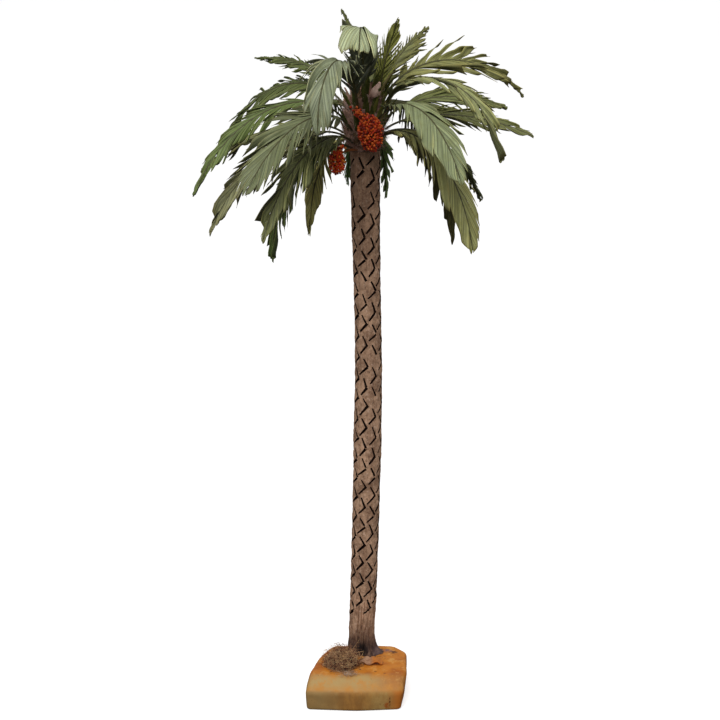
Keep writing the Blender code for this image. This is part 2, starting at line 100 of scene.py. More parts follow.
class Paint:
    def __init__(self, name, roughness=0.6, **constants):
        self.material = bpy.data.materials.new(name)
        self.material.use_nodes = True
        self.tree = self.material.node_tree
        self.shader = self.tree.nodes["Principled BSDF"]
        self.set(Roughness=roughness, **constants)

    def node(self, kind, values=None, output=0, **settings):
        made = self.tree.nodes.new(kind)
        for key, value in settings.items():
            setattr(made, key, value)
        for key, value in (values or {}).items():
            self.feed(made.inputs[key], value)
        return Wire(self, made.outputs[output])

    def feed(self, socket, value):
        if isinstance(value, Wire):
            self.tree.links.new(value.socket, socket)
        elif isinstance(value, tuple) and socket.type == "RGBA":
            socket.default_value = (*value, 1.0)
        else:
            socket.default_value = value

    def set(self, **values):
        for key, value in values.items():
            self.feed(self.shader.inputs[key.replace("_", " ")], value)

    def vector(self, operation, first, second=(0, 0, 0), output=0):
        return self.node("ShaderNodeVectorMath", {0: first, 1: second}, output, operation=operation)

    def place(self, stretch=(1, 1, 1), layer=None):  # object coordinates, or those of a UV map
        if layer:
            spot = self.node("ShaderNodeUVMap", uv_map=layer)
        else:
            spot = self.node("ShaderNodeTexCoord", output="Object")
        return self.vector("MULTIPLY", spot, stretch)

    def axis(self, name, stretch=(1, 1, 1), layer=None):
        return self.node("ShaderNodeSeparateXYZ", {0: self.place(stretch, layer)}, name)

    def speckle(self, scale, detail=3.0, roughness=0.6, stretch=(1, 1, 1), layer=None):
        values = {"Vector": self.place(stretch, layer), "Scale": scale, "Detail": detail, "Roughness": roughness}
        return self.node("ShaderNodeTexNoise", values)

    def near(self, centre, radii, soft):  # 1 inside an ellipsoid given in mm, falling to 0 outside it
        away = self.vector("DIVIDE", self.vector("SUBTRACT", self.place((1000, 1000, 1000)), centre), radii)
        return self.vector("LENGTH", away, output="Value").over(1 - soft, 1 + soft, 1.0, 0.0)

    def mix(self, share, first, second):
        return self.node("ShaderNodeMix", {0: share, 6: first, 7: second}, 2, data_type="RGBA")

    def coat(self, colour, *layers):  # screen colours laid over a colour, each by its share
        for share, tint in layers:
            colour = self.mix(share, colour, linear(*tint))
        return colour

    def done(self, colour, height, strength, distance, **others):  # its colour, and its bumps as a normal
        bump = self.node("ShaderNodeBump", {"Height": height, "Strength": strength, "Distance": distance})
        self.set(Base_Color=colour, Normal=bump, **others)
        return self


# Objects and meshes
def link(name, data, spot=(0, 0, 0), turn=(0, 0, 0)):
    made = bpy.data.objects.new(name, data)
    made.location, made.rotation_euler = spot, turn
    bpy.context.scene.collection.objects.link(made)
    return made


def meshOf(name, bm):
    mesh = bpy.data.meshes.new(name)
    bm.to_mesh(mesh)
    bm.free()
    return mesh


def addPiece(name, mesh, paints, stands=()):
    for paint in paints:
        mesh.materials.append(paint.material)
    mesh.shade_smooth()
    piece = link(name, mesh)
    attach(piece, "root")
    if stands:
        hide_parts(*stands)
    return piece


def finishPiece(name, bm, paints, stands=()):
    return addPiece(name, meshOf(name, bm), paints, stands)


def arrayPiece(name, points, faces, kinds, paints, stands):  # one piece from arrays of points and of faces
    mesh = bpy.data.meshes.new(name)
    mesh.from_pydata(points.reshape(-1, 3).tolist(), [], faces)
    mesh.polygons.foreach_set("material_index", np.asarray(kinds, np.int32))
    mesh.update()
    addPiece(name, mesh, paints, stands)


def gridOf(bm, columns, rows, place, layers=None, offset=0.0, pleats=1.0):  # a grid laid through a function of (u, v)
    made = bmesh.ops.create_grid(bm, x_segments=columns, y_segments=rows, size=0.5, calc_uvs=False)["verts"]
    shares = {vert: (vert.co.x + 0.5, vert.co.y + 0.5) for vert in made}
    if layers:
        for face in {face for vert in made for face in vert.link_faces}:
            for loop in face.loops:
                u, v = shares[loop.vert]
                loop[layers[0]].uv = (offset + u * pleats, v)
                loop[layers[1]].uv = (u, v)
    for vert, (u, v) in shares.items():
        vert.co = place(u, v)
    return made


def tubeOf(bm, sides, rows, place):  # a grid wrapped round and closed at both ends
    made = gridOf(bm, sides, rows, place)
    bmesh.ops.remove_doubles(bm, verts=made, dist=1e-7)
    edges = [edge for edge in bm.edges if edge.is_boundary]
    bmesh.ops.holes_fill(bm, edges=edges, sides=sides + 2)
    bmesh.ops.recalc_face_normals(bm, faces=bm.faces)


def leafShape(columns, rows, place, thickness):  # one small leaf, to be laid many times
    shape = bmesh.new()
    gridOf(shape, columns, rows, place)
    bmesh.ops.solidify(shape, geom=list(shape.faces), thickness=thickness)
    bmesh.ops.recalc_face_normals(shape, faces=shape.faces)
    return shape


def layCopies(name, shape, rows, paints, stands=()):  # a small shape laid at each row's spot, size and turn
    spots, sizes, turns, kinds = (np.array(column) for column in zip(*rows))
    shape.verts.index_update()
    corners = np.array([tuple(vert.co) for vert in shape.verts])
    polygons = [[vert.index for vert in face.verts] for face in shape.faces]
    shape.free()
    points = np.einsum("kij,nj->kni", turns, corners) * sizes[:, None, None] + spots[:, None]
    faces = [[k * len(corners) + i for i in polygon] for k in range(len(spots)) for polygon in polygons]
    arrayPiece(name, points, faces, np.repeat(kinds, len(polygons)), paints, stands)


strand = dict(sides=3, tip=0.45, aside=(0.31, 0.52, 0.79))


def layStrands(name, paths, radius, kinds, paints, stands=()):  # a hair-thin tube along each path
    paths, sides = np.array(paths, float), strand["sides"]
    count, steps = paths.shape[:2]
    along = np.gradient(paths, axis=1)
    along /= np.linalg.norm(along, axis=2, keepdims=True) + 1e-12
    side = np.cross(along, np.array(strand["aside"]))
    side /= np.linalg.norm(side, axis=2, keepdims=True) + 1e-12
    up = np.cross(side, along)
    taper = radius * np.linspace(1, strand["tip"], steps)[None, :, None, None]
    turns = 2 * np.pi * np.arange(sides) / sides
    ring = side[:, :, None] * np.cos(turns)[:, None] + up[:, :, None] * np.sin(turns)[:, None]
    faces, marks = [], []
    for k in range(count):
        first, last = k * steps * sides, ((k + 1) * steps - 1) * sides
        for low in range(first, last, sides):
            turn = [(low + c, low + (c + 1) % sides) for c in range(sides)]
            faces += [(a, b, b + sides, a + sides) for a, b in turn]
        faces += [tuple(range(first, first + sides))[::-1], tuple(range(last, last + sides))]
        marks += [kinds[k]] * (sides * (steps - 1) + 2)
    arrayPiece(name, paths[:, :, None] + ring * taper, faces, marks, paints, stands)


def finished(piece):  # the mesh that an object's modifiers make, with the modifiers gone
    made = bpy.data.meshes.new_from_object(piece.evaluated_get(bpy.context.evaluated_depsgraph_get()))
    piece.modifiers.clear()
    piece.data = made


# Camera, at the photograph's viewing angle
camera = dict(spot=(0.003, -1.5425, 0.7208), pitch=75, lens=93.6, sensor=36)
lens = bpy.data.cameras.new("viewCamera")
lens.lens, lens.sensor_width = camera["lens"], camera["sensor"]
bpy.context.scene.camera = link("viewCamera", lens, camera["spot"], (radians(camera["pitch"]), 0, 0))

# Soft studio light and a pale floor
studio = dict(
    sky=0.52, below=0.08, skyFrom=-0.25, skyTo=0.45, key=37, keySize=1.2, keySpot=(-0.35, -1.5, 2.2),
    keyAim=(0, 0, 0.35), floor=(225, 225, 225), glow=0.62, reach=14,
)
bpy.context.scene.view_settings.view_transform = "Standard"
world = bpy.data.worlds.new("studio")
world.use_nodes = True
bpy.context.scene.world = world
tree = world.node_tree
ways, split, height = (tree.nodes.new("ShaderNode" + kind) for kind in ("TexCoord", "SeparateXYZ", "MapRange"))
for key, name in {1: "skyFrom", 2: "skyTo", 3: "below", 4: "sky"}.items():
    height.inputs[key].default_value = studio[name]
tree.links.new(ways.outputs["Generated"], split.inputs[0])
tree.links.new(split.outputs["Z"], height.inputs[0])
tree.links.new(height.outputs[0], tree.nodes["Background"].inputs["Strength"])
tree.nodes["Background"].inputs["Color"].default_value = (1, 1, 1, 1)

light = bpy.data.lights.new("keyLight", "AREA")
light.size, light.energy = studio["keySize"], studio["key"]
shine = Vector(studio["keyAim"]) - Vector(studio["keySpot"])
link("keyLight", light, studio["keySpot"], shine.to_track_quat("-Z", "Y").to_euler())

floorPaint = Paint("paleFloor", 0.9)
floorPaint.set(Base_Color=linear(*studio["floor"]), Emission_Color=(1.0, 1.0, 1.0), Emission_Strength=studio["glow"])
bm = bmesh.new()
bmesh.ops.create_grid(bm, x_segments=2, y_segments=2, size=studio["reach"])
floorSheet = link("floor", meshOf("floor", bm))
floorSheet.data.materials.append(floorPaint.material)
floorSheet.visible_diffuse = floorSheet.visible_glossy = False
report("studio set")

# The painted block
block = dict(
    height=0.028, belt=0.0178,  # the outlines and the stains are in mm
    foot=((-44, -37.5), (0, -41), (38.5, -37.5), (42.5, -5), (43.8, 26), (36, 39.5), (-23, 39.5), (-27.5, 33),
          (-33.5, 20), (-38.5, 4), (-42.5, -16)),
    waist=((-45, -38.5), (0, -41.5), (40.8, -38.5), (43.6, -15), (45.5, 26), (36.8, 40.5), (-22.5, 40.5), (-27, 33.5),
           (-33, 21), (-38.3, 5), (-43, -15)),
    top=((-40.5, -24.5), (0, -28.5), (40.5, -26.5), (44.8, -15), (45.2, 25), (33.5, 40), (-20, 40), (-24.8, 32.2),
         (-30.5, 21), (-35.3, 6.6), (-40, -12.9)),
    cornerRound=0.0036, waistRound=0.0032, rimRound=0.0046, footRound=0.0020,
    segments=5, cornerRise=0.006, level=0.0004, voxel=0.0009, dent=0.0006, dentFrom=0.004,
    stains=(  # centre, radii, colour
        ((23, 28.5, 28), (3, 2.2, 10), (96, 56, 30)),
        ((33, 23.5, 28), (3.6, 3, 10), (88, 50, 30)),
        ((28, 27, 28), (4.8, 3.2, 10), (136, 100, 92)),
        ((29, -40.5, 8.5), (0.7, 6, 4.2), (90, 52, 24)),
        ((26.5, -40.5, 5), (2.2, 6, 3.5), (170, 92, 34)),
        ((3, -14, 28), (1.1, 1.4, 10), (120, 58, 20)),
        ((16.5, -19, 28), (1.1, 1.2, 10), (110, 60, 24)),
        ((24.5, -22.5, 28), (1.4, 1, 10), (126, 66, 26)),
        ((-38.5, 2, 26), (4, 4, 10), (134, 74, 34)),
        ((44, -38, 8), (6, 10, 9), (188, 104, 36)),
    ),
    grime=((4, 14, 28), (26, 18, 10)),
)
blockTop = block["height"]


def blockPaint():
    paint = Paint("ochrePaint", 0.55)
    x, y, z = (paint.axis(name) for name in "XYZ")
    ahead = 0 - y
    cloud = paint.speckle(48, 4, 0.6)
    wash = paint.speckle(110, 5, 0.68, (1, 1, 0.4))
    grit = paint.speckle(420, 4, 0.7)
    streak = paint.speckle(120, 4, 0.7, (1.1, 1, 0.3))
    slope = (ahead + cloud * 0.018).over(0.028, 0.041) * x.over(0.006, 0.034, 1.0, 0.3)
    lower = z.over(0.0185, 0.0240, 1.0, 0.0) * ahead.over(0.028, 0.036)
    below, face = z.over(0.0165, 0.0195, 1.0, 0.0), ahead.over(0.026, 0.034)
    patch = x.over(0.002, 0.020) * x.over(0.024, 0.037, 1.0, 0.0) * wash.over(0.3, 0.6, 0.3, 0.9)
    front = paint.coat(
        linear(158, 110, 56),
        (streak.over(0.38, 0.66), (182, 130, 66)),
        (x.over(-0.034, -0.004, 0.75, 0.0), (168, 138, 88)),  # greyer at the left
        (x.over(0.020, 0.038) * 0.85, (206, 120, 44)),  # more orange at the right
        (wash.over(0.50, 0.74) * 0.45, (176, 150, 100)),
        (patch, (188, 152, 90)))
    colour = paint.coat(
        linear(206, 128, 40),
        (cloud.over(0.36, 0.66), (170, 90, 22)),
        (wash.over(0.50, 0.66) * 0.7, (222, 166, 92)),
        (slope * cloud.over(0.25, 0.6, 0.6, 1.0), (186, 154, 98)),  # khaki on the slope at the front
        (slope * wash.over(0.48, 0.66) * 0.75, (202, 138, 66)),
        (lower * wash.over(0.30, 0.62, 0.25, 0.85), (198, 136, 62)))  # browner on its lower half
    colour = paint.mix(below * face, colour, front)
    colour = paint.mix(below * (1 - face) * 0.6, colour, front)
    stains = [(paint.near(*spot, 0.55) * grit.over(0.36, 0.56), tint) for *spot, tint in block["stains"]]
    colour = paint.coat(
        colour, *stains,
        (paint.near(*block["grime"], 0.5) * grit.over(0.48, 0.64) * 0.6, (104, 64, 34)),
        (grit.over(0.66, 0.70) * 0.65, (110, 64, 28)))
    return paint.done(colour, wash * 0.8 + grit * 0.35, 0.45, 0.0007,
                      Roughness=wash.over(0.2, 0.9, 0.45, 0.72), Specular_IOR_Level=0.22)


def buildBlock():
    foot, waist, top = ([(x / 1000, y / 1000) for x, y in block[plan]] for plan in ("foot", "waist", "top"))
    bm = bmesh.new()
    face, under = bm.faces.new([bm.verts.new((x, y, 0)) for x, y in foot]), foot
    for plan, z in ((waist, block["belt"]), (top, blockTop)):
        made = bmesh.ops.extrude_face_region(bm, geom=[face])["geom"]
        if plan is top:
            bm.faces.remove(face)
        face = next(item for item in made if isinstance(item, bmesh.types.BMFace))
        for vert in list(face.verts):
            corner = min(range(len(under)), key=lambda k: (Vector(under[k]) - vert.co.xy).length)
            vert.co = (*plan[corner], z)
        under = plan
    bmesh.ops.recalc_face_normals(bm, faces=bm.faces)
    level = block["level"]
    rounds = (  # which edges are rounded, by their ends' heights
        (lambda low, high: high - low > block["cornerRise"], "cornerRound"),
        (lambda low, high: abs(low - block["belt"]) < level and abs(high - block["belt"]) < level, "waistRound"),
        (lambda low, high: low > blockTop - level, "rimRound"),
        (lambda low, high: high < level, "footRound"),
    )
    for test, width in rounds:
        edges = [edge for edge in bm.edges if test(*sorted(vert.co.z for vert in edge.verts))]
        bmesh.ops.bevel(bm, geom=edges, offset=block[width], segments=block["segments"], profile=0.5, affect="EDGES",
                        material=-1, clamp_overlap=True)
    piece = finishPiece("paintedBlock", bm, [blockPaint()], ["base_block"])
    remesh = piece.modifiers.new("even", "REMESH")
    remesh.mode, remesh.voxel_size = "VOXEL", block["voxel"]
    finished(piece)
    normals = [vert.normal.copy() for vert in piece.data.vertices]  # read before any vertex is moved
    for vert, normal in zip(piece.data.vertices, normals):
        lift = noise.noise(vert.co * 60) * 0.7 + noise.noise(vert.co * 170) * 0.28
        vert.co += normal * lift * block["dent"] * smooth(vert.co.z, 0.0, block["dentFrom"])
        vert.co.z = max(0.0, vert.co.z)
    piece.data.shade_smooth()


buildBlock()
report("block made")

# The trunk, with its incised marks
trunk = dict(
    stations=(  # height, x, y, radius
        (0.0283, 0.0042, 0.0270, 0.0122), (0.045, 0.0044, 0.0268, 0.0117), (0.095, 0.0064, 0.0258, 0.0118),
        (0.165, 0.0083, 0.0244, 0.0120), (0.235, 0.0096, 0.0230, 0.0122), (0.300, 0.0103, 0.0216, 0.0117),
        (0.380, 0.0088, 0.0196, 0.0116), (0.440, 0.0076, 0.0182, 0.0124), (0.485, 0.0074, 0.0170, 0.0126)),
    flareReach=0.0075, flareHeight=0.0046, flareAzimuth=-15, flareAll=0.001,
    sides=110, rings=420, sharp=38,
    lumps=((1.1, 0.00055), (3.1, 0.00034), (7.3, 0.00016)),  # fineness, height
    stripHeight=0.00016, crackDepth=0.0003, footCrackDepth=0.0013, hollowDepth=0.0019,
    hollow=((4.5, 15, 33.5), (5, 6, 7)), toe=((18, 22, 30), (4, 6, 4)),  # painted spots, in mm; the first is painted shade in the hollow at the foot
)
dashes = dict(
    columns=9, firstAzimuth=-110, columnStep=4 / 9, topHeight=0.4825, lastHeight=0.066, startAbove=0.004,
    lowPitch=0.0172, highPitch=0.0196, length=0.0103, width=0.0020, depth=0.0020, proud=0.002,
    leans=((0, 0, 46, 1.25), (-0.42, 7, -66, 1.02)),  # share of the pitch down, degrees aside, tilt, width
    heightJitter=0.0008, turnJitter=2.5, tiltJitter=7, lengths=(0.82, 1.1), widths=(0.85, 1.15),
    missing=0.03, deepLength=0.93, deepWidth=0.75, endWidths=(0.7, 1.1),
)
trunkFoot, trunkTop = trunk["stations"][0][0], trunk["stations"][-1][0]


def trunkAt(z):  # the middle and the radius, on a smooth curve through the stations
    rows = trunk["stations"]
    k = max(0, min(len(rows) - 2, sum(1 for row in rows if row[0] <= z) - 1))
    before, low, high, after = rows[max(0, k - 1)], rows[k], rows[k + 1], rows[min(len(rows) - 1, k + 2)]
    t = (z - low[0]) / (high[0] - low[0])
    values = []
    for i in (1, 2, 3):
        start = (high[i] - before[i]) * (high[0] - low[0]) / (high[0] - before[0])
        end = (after[i] - low[i]) * (high[0] - low[0]) / (after[0] - low[0])
        drop = low[i] - high[i]
        cubic, square = 2 * drop + start + end, -3 * drop - 2 * start - end
        values.append(((cubic * t + square) * t + start) * t + low[i])
    return Vector((values[0], values[1], z)), values[2]


def trunkReach(azimuth, z):
    swell = exp(-(z - trunkFoot) / trunk["flareHeight"])
    toe = max(0.0, cos(azimuth - radians(trunk["flareAzimuth"]))) ** 2
    return trunkAt(z)[1] + swell * (trunk["flareAll"] + trunk["flareReach"] * toe)


def barkRelief(azimuth, z):
    spot = Vector((cos(azimuth) * 1.2, sin(azimuth) * 1.2, z * 100))
    low = 1 - smooth(z, 0.060, 0.115)
    fold = Vector((cos(azimuth) * 3.4, sin(azimuth) * 3.4, z * 26))
    crack = smooth(1 - abs(noise.noise(fold)), 0.80, 0.99) * (0.35 + 0.65 * low)
    lump = sum(noise.noise(spot * fine) * high for fine, high in trunk["lumps"])
    strip = noise.noise(Vector((spot.x * 6, spot.y * 6, z * 60))) * trunk["stripHeight"] * (1 + 2 * low)
    toe = 1 - smooth(z, 0.032, 0.046)
    hollow = smooth(noise.noise(Vector((spot.x * 1.6, spot.y * 1.6, z * 55 + 4))), 0.05, 0.5) * toe
    cracks = crack * (trunk["crackDepth"] + trunk["footCrackDepth"] * low)
    return lump + strip - cracks - hollow * trunk["hollowDepth"]


def barkPaint():
    paint = Paint("trunkBark", 0.8, Specular_IOR_Level=0.25)
    z = paint.axis("Z")
    grain = paint.speckle(520, 5, 0.7, (1, 1, 0.16))
    cloud = paint.speckle(95, 4, 0.6, (1, 1, 0.6))
    crumb = paint.speckle(1500, 3, 0.7)
    fleck = paint.speckle(430, 4, 0.72, (1, 1, 0.7))
    foot = 1 - z.over(0.032, 0.062)
    colour = paint.coat(
        linear(152, 116, 91),
        (cloud.over(0.32, 0.68), (208, 166, 134)),
        (grain.over(0.50, 0.68) * 0.62, (96, 66, 48)),
        (crumb.over(0.52, 0.68) * 0.62, (222, 188, 162)),
        (fleck.over(0.54, 0.66) * 0.6, (232, 198, 172)),
        (fleck.over(0.36, 0.46, 1.0, 0.0) * 0.55, (104, 72, 54)),
        (z.over(0.34, 0.49) * 0.42, (112, 84, 64)),  # painted shade under the crown
        (foot * grain.over(0.3, 0.6, 0.6, 1.0), (62, 44, 42)),  # dark at the foot
        # painted shade: near-black in the hollow at the foot
        (paint.near(*trunk["hollow"], 0.6) * 0.95, (26, 18, 18)),
        (paint.near(*trunk["toe"], 0.6) * 0.6, (112, 92, 92)))
    relief = grain * 0.5 + crumb * 0.2 + fleck * 0.8
    return paint.done(colour, relief, 0.9, 0.0014, Roughness=cloud.over(0.3, 0.7, 0.7, 0.9))


def dashCutter(down, aside, tilt, width):  # all the marks that lean one way, so that none meets another
    bm = bmesh.new()
    chance = random.Random(seed + tilt)
    high, turn, lean = dashes["heightJitter"], dashes["turnJitter"], dashes["tiltJitter"]
    for column in range(dashes["columns"]):
        base = dashes["firstAzimuth"] + 360 / dashes["columns"] * column
        z = dashes["topHeight"] + dashes["startAbove"] - (column * dashes["columnStep"] % 1) * dashes["highPitch"]
        while z > dashes["lastHeight"]:
            share = (z - trunkFoot) / (trunkTop - trunkFoot)
            pitch = blendOf(dashes["lowPitch"], dashes["highPitch"], share)
            spot = z - down * pitch + chance.uniform(-high, high)
            azimuth = radians(base + aside + chance.uniform(-turn, turn))
            slope = radians(tilt + chance.uniform(-lean, lean))
            long = dashes["length"] * chance.uniform(*dashes["lengths"])
            wide = dashes["width"] * width * chance.uniform(*dashes["widths"])
            z -= pitch
            if not dashes["lastHeight"] < spot < dashes["topHeight"] or chance.random() < dashes["missing"]:
                continue
            out = outward(azimuth)
            right = Vector((-sin(azimuth), cos(azimuth), 0))
            along = right * cos(slope) + upright * sin(slope)
            across = out.cross(along)
            centre = trunkAt(spot)[0] + out * trunkReach(azimuth, spot)
            for vert in bmesh.ops.create_cube(bm, size=1)["verts"]:
                deep = vert.co.z < 0
                taper = dashes["deepWidth"] if deep else 1.0
                narrow = dashes["endWidths"][0 if vert.co.x < 0 else 1]
                vert.co = (centre + along * vert.co.x * long * (dashes["deepLength"] if deep else 1)
                           + across * vert.co.y * wide * taper * narrow
                           + out * (-dashes["depth"] if deep else dashes["proud"]))
    bmesh.ops.recalc_face_normals(bm, faces=bm.faces)
    # the cut walls take the trunk's second paint, painted shade inside the marks
    for face in bm.faces:
        face.material_index = 1
    return link("dashCutter", meshOf("dashCutter", bm))


def buildTrunk():
    def skin(u, v):
        azimuth = 2 * pi * u
        z = blendOf(trunkFoot, trunkTop, v)
        return trunkAt(z)[0] + outward(azimuth) * (trunkReach(azimuth, z) + barkRelief(azimuth, z))

    bm = bmesh.new()
    tubeOf(bm, trunk["sides"], trunk["rings"], skin)
    # near-black on the walls of the cut marks: painted shade inside them
    notch = Paint("cutDark", 0.9, Base_Color=linear(34, 20, 14), Specular_IOR_Level=0.1)
    piece = finishPiece("palmTrunk", bm, [barkPaint(), notch], ["trunk"])
    for lean in dashes["leans"]:
        cutter = dashCutter(*lean)
        cut = piece.modifiers.new("dashes", "BOOLEAN")
        cut.operation, cut.solver, cut.object = "DIFFERENCE", "MANIFOLD", cutter
        cut.material_mode = "INDEX"
        finished(piece)
        bpy.data.objects.remove(cutter, do_unlink=True)
    piece.data.set_sharp_from_angle(angle=radians(trunk["sharp"]))


buildTrunk()
report("trunk made")

# The heart of the crown, under its fibrous leaf bases
heart = dict(
    x=0.0065, y=0.0170, footRadius=0.0130, radius=0.0170, bulge=0.020, height=0.056, inset=0.0012, lump=0.0007,
    lowGap=0.0004, topGap=0.0014, goldenTurn=137.5, tierTop=0.046, bases=66, baseLength=0.0100, baseFrom=0.002,
    baseInset=-0.0016, fibres=1500, fibreRadius=0.00013, fibreLengths=(0.003, 0.008), young=54, youngAzimuth=-50,
    youngSpread=62, youngTiers=(0.014, 0.047), youngLengths=(0.016, 0.028),
)


def heartRadius(height):
    if height < heart["bulge"]:
        swell = sin(max(0.0, height / heart["bulge"]) * pi / 2)
        return heart["footRadius"] + (heart["radius"] - heart["footRadius"]) * swell
    t = min(1.0, (height - heart["bulge"]) / (heart["height"] - heart["bulge"]))
    return heart["radius"] * sqrt(max(0.0, 1 - t ** 2.2))


def heartSpot(angle, reach, tier):
    return Vector((heart["x"] + reach * cos(angle), heart["y"] + reach * sin(angle), trunkTop + tier))


def heartPoint(azimuth, tier, off=0.0):
    return heartSpot(radians(azimuth), heartRadius(tier) + off, tier)


def fibrePaint(name, first, second, third=None):
    paint = Paint(name, 0.85, Specular_IOR_Level=0.2)
    hair = paint.speckle(900, 4, 0.7, (1, 1, 0.25))
    cloud = paint.speckle(140)
    coats = (cloud.over(0.35, 0.65), second), (hair.over(0.5, 0.7) * 0.6, third or first)
    return paint.done(paint.coat(linear(*first), *coats), hair, 0.6, 0.0006)


def leafTurn(azimuth, lean, aside=0.0):  # carries +Z up along a leaf and +Y in towards the heart
    out = outward(radians(azimuth))
    up = (upright + out * lean + out.cross(upright) * aside).normalized()
    side = out.cross(up).normalized()
    return np.array(Matrix((-side, side.cross(up) * -1, up)).transposed())


def buildHeart():
    chance = random.Random(seed + 1)

    def bulb(u, v):
        height = heart["lowGap"] + (heart["height"] - heart["topGap"]) * sin(v * pi / 2)
        reach = heartRadius(height) - heart["inset"] + heart["lump"] * noise.noise(Vector((u * 9, height * 300, 1)))
        return heartSpot(2 * pi * u, reach, height)

    bm = bmesh.new()
    tubeOf(bm, 60, 40, bulb)
    paints = [fibrePaint("heartFibre", (156, 118, 100), (206, 168, 148), (98, 70, 58)),
              fibrePaint("heartPink", (186, 152, 142), (212, 182, 170), (138, 104, 94)),
              fibrePaint("heartDark", (104, 82, 56), (142, 116, 84))]
    finishPiece("crownHeart", bm, paints[:1], ["crown_heart"])

    shape = leafShape(5, 6, lambda u, v: Vector((  # a short flat scale, hollow inside and worn at its end
        (u - 0.5) * (0.62 - 0.22 * v) * (1 - 0.35 * smooth(v, 0.7, 1)),
        0.18 * (1 - (2 * u - 1) ** 2) * (1 - 0.4 * v) + 0.10 * v * v,
        v - 0.05 * abs(u - 0.5))), 0.07)
    rows = []
    for k in range(heart["bases"]):
        tier = heart["baseFrom"] + heart["tierTop"] * ((k + 0.5) / heart["bases"])
        azimuth = k * heart["goldenTurn"]
        turn = leafTurn(azimuth, chance.uniform(0.12, 0.42))
        long = heart["baseLength"] * chance.uniform(0.75, 1.15)
        rows.append((heartPoint(azimuth, tier, heart["baseInset"]), long, turn, chance.choice((0, 0, 1, 2))))
    layCopies("leafBases", shape, rows, paints)

    paths, marks = [], []
    for _ in range(heart["fibres"]):
        azimuth, tier = chance.uniform(-180, 180), chance.uniform(0.0, heart["tierTop"])
        start = heartPoint(azimuth, tier, -0.0005)
        out = (start - Vector((heart["x"], heart["y"], start.z))).normalized()
        way = (out * chance.uniform(0.2, 0.9) + Vector((0, 0, chance.uniform(-0.6, 1)))
               + Vector((chance.uniform(-1, 1), chance.uniform(-1, 1), 0)) * 0.6).normalized()
        bow = scatter(chance.uniform, -1, 1) * 0.6
        long = chance.uniform(*heart["fibreLengths"])
        paths.append([start + (way * t + bow * t * t) * long for t in (0, 0.25, 0.5, 0.75, 1)])
        marks.append(chance.choice((0, 1, 1, 2)))
    layStrands("heartHair", paths, heart["fibreRadius"], marks, paints)


def buildYoungLeaves():  # narrow young leaves that stand up round the heart
    chance = random.Random(seed + 9)
    shape = leafShape(2, 8, lambda u, v: Vector((
        (u - 0.5) * 0.19 * (0.5 + 0.5 * sin(pi * min(1, 0.25 + v * 0.75))) * (1 - 0.85 * smooth(v, 0.72, 1)),
        0.30 * v * v - 0.03 * abs(2 * u - 1), v)), 0.012)
    rows = []
    for _ in range(heart["young"]):
        azimuth = heart["youngAzimuth"] + chance.gauss(0, heart["youngSpread"])
        tier = chance.uniform(*heart["youngTiers"])
        turn = leafTurn(azimuth, chance.uniform(0.0, 0.30), chance.uniform(-0.3, 0.3))
        long = chance.uniform(*heart["youngLengths"])
        rows.append((heartPoint(azimuth, tier, 0.0004), long, turn, chance.choice((0, 1, 1, 2))))
    paints = [fibrePaint("youngOlive", (108, 108, 46), (84, 86, 34)),
              fibrePaint("youngGreen", (90, 96, 42), (64, 70, 28)),
              fibrePaint("youngTan", (140, 128, 84), (112, 100, 60))]
    layCopies("youngLeaves", shape, rows, paints)


buildHeart()
buildYoungLeaves()

# The pale stub of a flower sheath
spathe = dict(azimuth=-58, tier=0.046, length=0.0125, radius=0.0034, lean=1.1, off=0.0006)


def buildSpathe():
    angle = radians(spathe["azimuth"])
    tier = spathe["tier"]
    slope = (heartRadius(tier - 0.001) - heartRadius(tier + 0.001)) / 0.002
    out = Vector((cos(angle), sin(angle), slope)).normalized()
    across = Vector((-sin(angle), cos(angle), 0))
    foot = heartPoint(spathe["azimuth"], tier) + out * spathe["off"]
    lean = upright * spathe["lean"]

    def skin(u, v):
        axis = (out + lean * v).normalized()
        side = axis.cross(across)
        radius = spathe["radius"] * (0.75 + 0.5 * sin(pi * min(1, v * 1.1))) * (1 - 0.62 * v ** 4)
        radius *= 1 + 0.05 * cos(12 * pi * u) + 0.06 * noise.noise(Vector((u * 5, v * 3, 2)))
        turn = 2 * pi * u
        centre = foot + (out * v + lean * v * v * 0.5) * spathe["length"]
        return centre + (across * cos(turn) - side * sin(turn)) * radius

    bm = bmesh.new()
    tubeOf(bm, 48, 24, skin)
    # pale pink of its own, painted lighter still: painted light for the shade the stub sits in
    paint = fibrePaint("spathePink", (242, 206, 190), (222, 180, 164), (186, 146, 132))
    finishPiece("spatheStub", bm, [paint], ["spathe_stub"])


buildSpathe()
report("heart made")

# The two bunches of dates
dates = {
    "front": {"node": "date_bunch_front", "centre": (0.0115, -0.0095, 0.5030), "radii": (0.0108, 0.0078, 0.0165),
              "lean": -8, "root": (-88, 0.030), "beads": 600, "shine": 1.0,
              "sprig": ((0.0060, -0.0075, 0.5155), (-0.0012, -0.0060, 0.5215))},
    # the left bunch's colours are scaled up by its shine: painted light on a bunch that hangs in shade
    "left": {"node": "date_bunch_left", "centre": (-0.0162, -0.0055, 0.4780), "radii": (0.0072, 0.0064, 0.0100),
             "lean": 0, "root": (-114, 0.002), "beads": 260, "shine": 1.35,
             "sprig": ((-0.0150, -0.0055, 0.4860), (-0.0140, -0.0050, 0.4905))},
}
dateTints = {"dateRed": ((216, 66, 20), (164, 36, 10)), "dateOrange": ((244, 122, 44), (210, 74, 22)),
             "dateDark": ((140, 32, 12), (92, 22, 10))}
bead = dict(
    radius=0.00112, apart=0.00192, depths=(0.60, 0.93), tries=60000, sizes=(0.8, 1.12), tilt=0.6, inSprig=10,
    sprigSpread=0.0015,
)
twigs = dict(count=170, inStalk=9, points=9, spread=0.00045, radius=0.00032, rise=0.004, arch=0.001, off=0.0009)


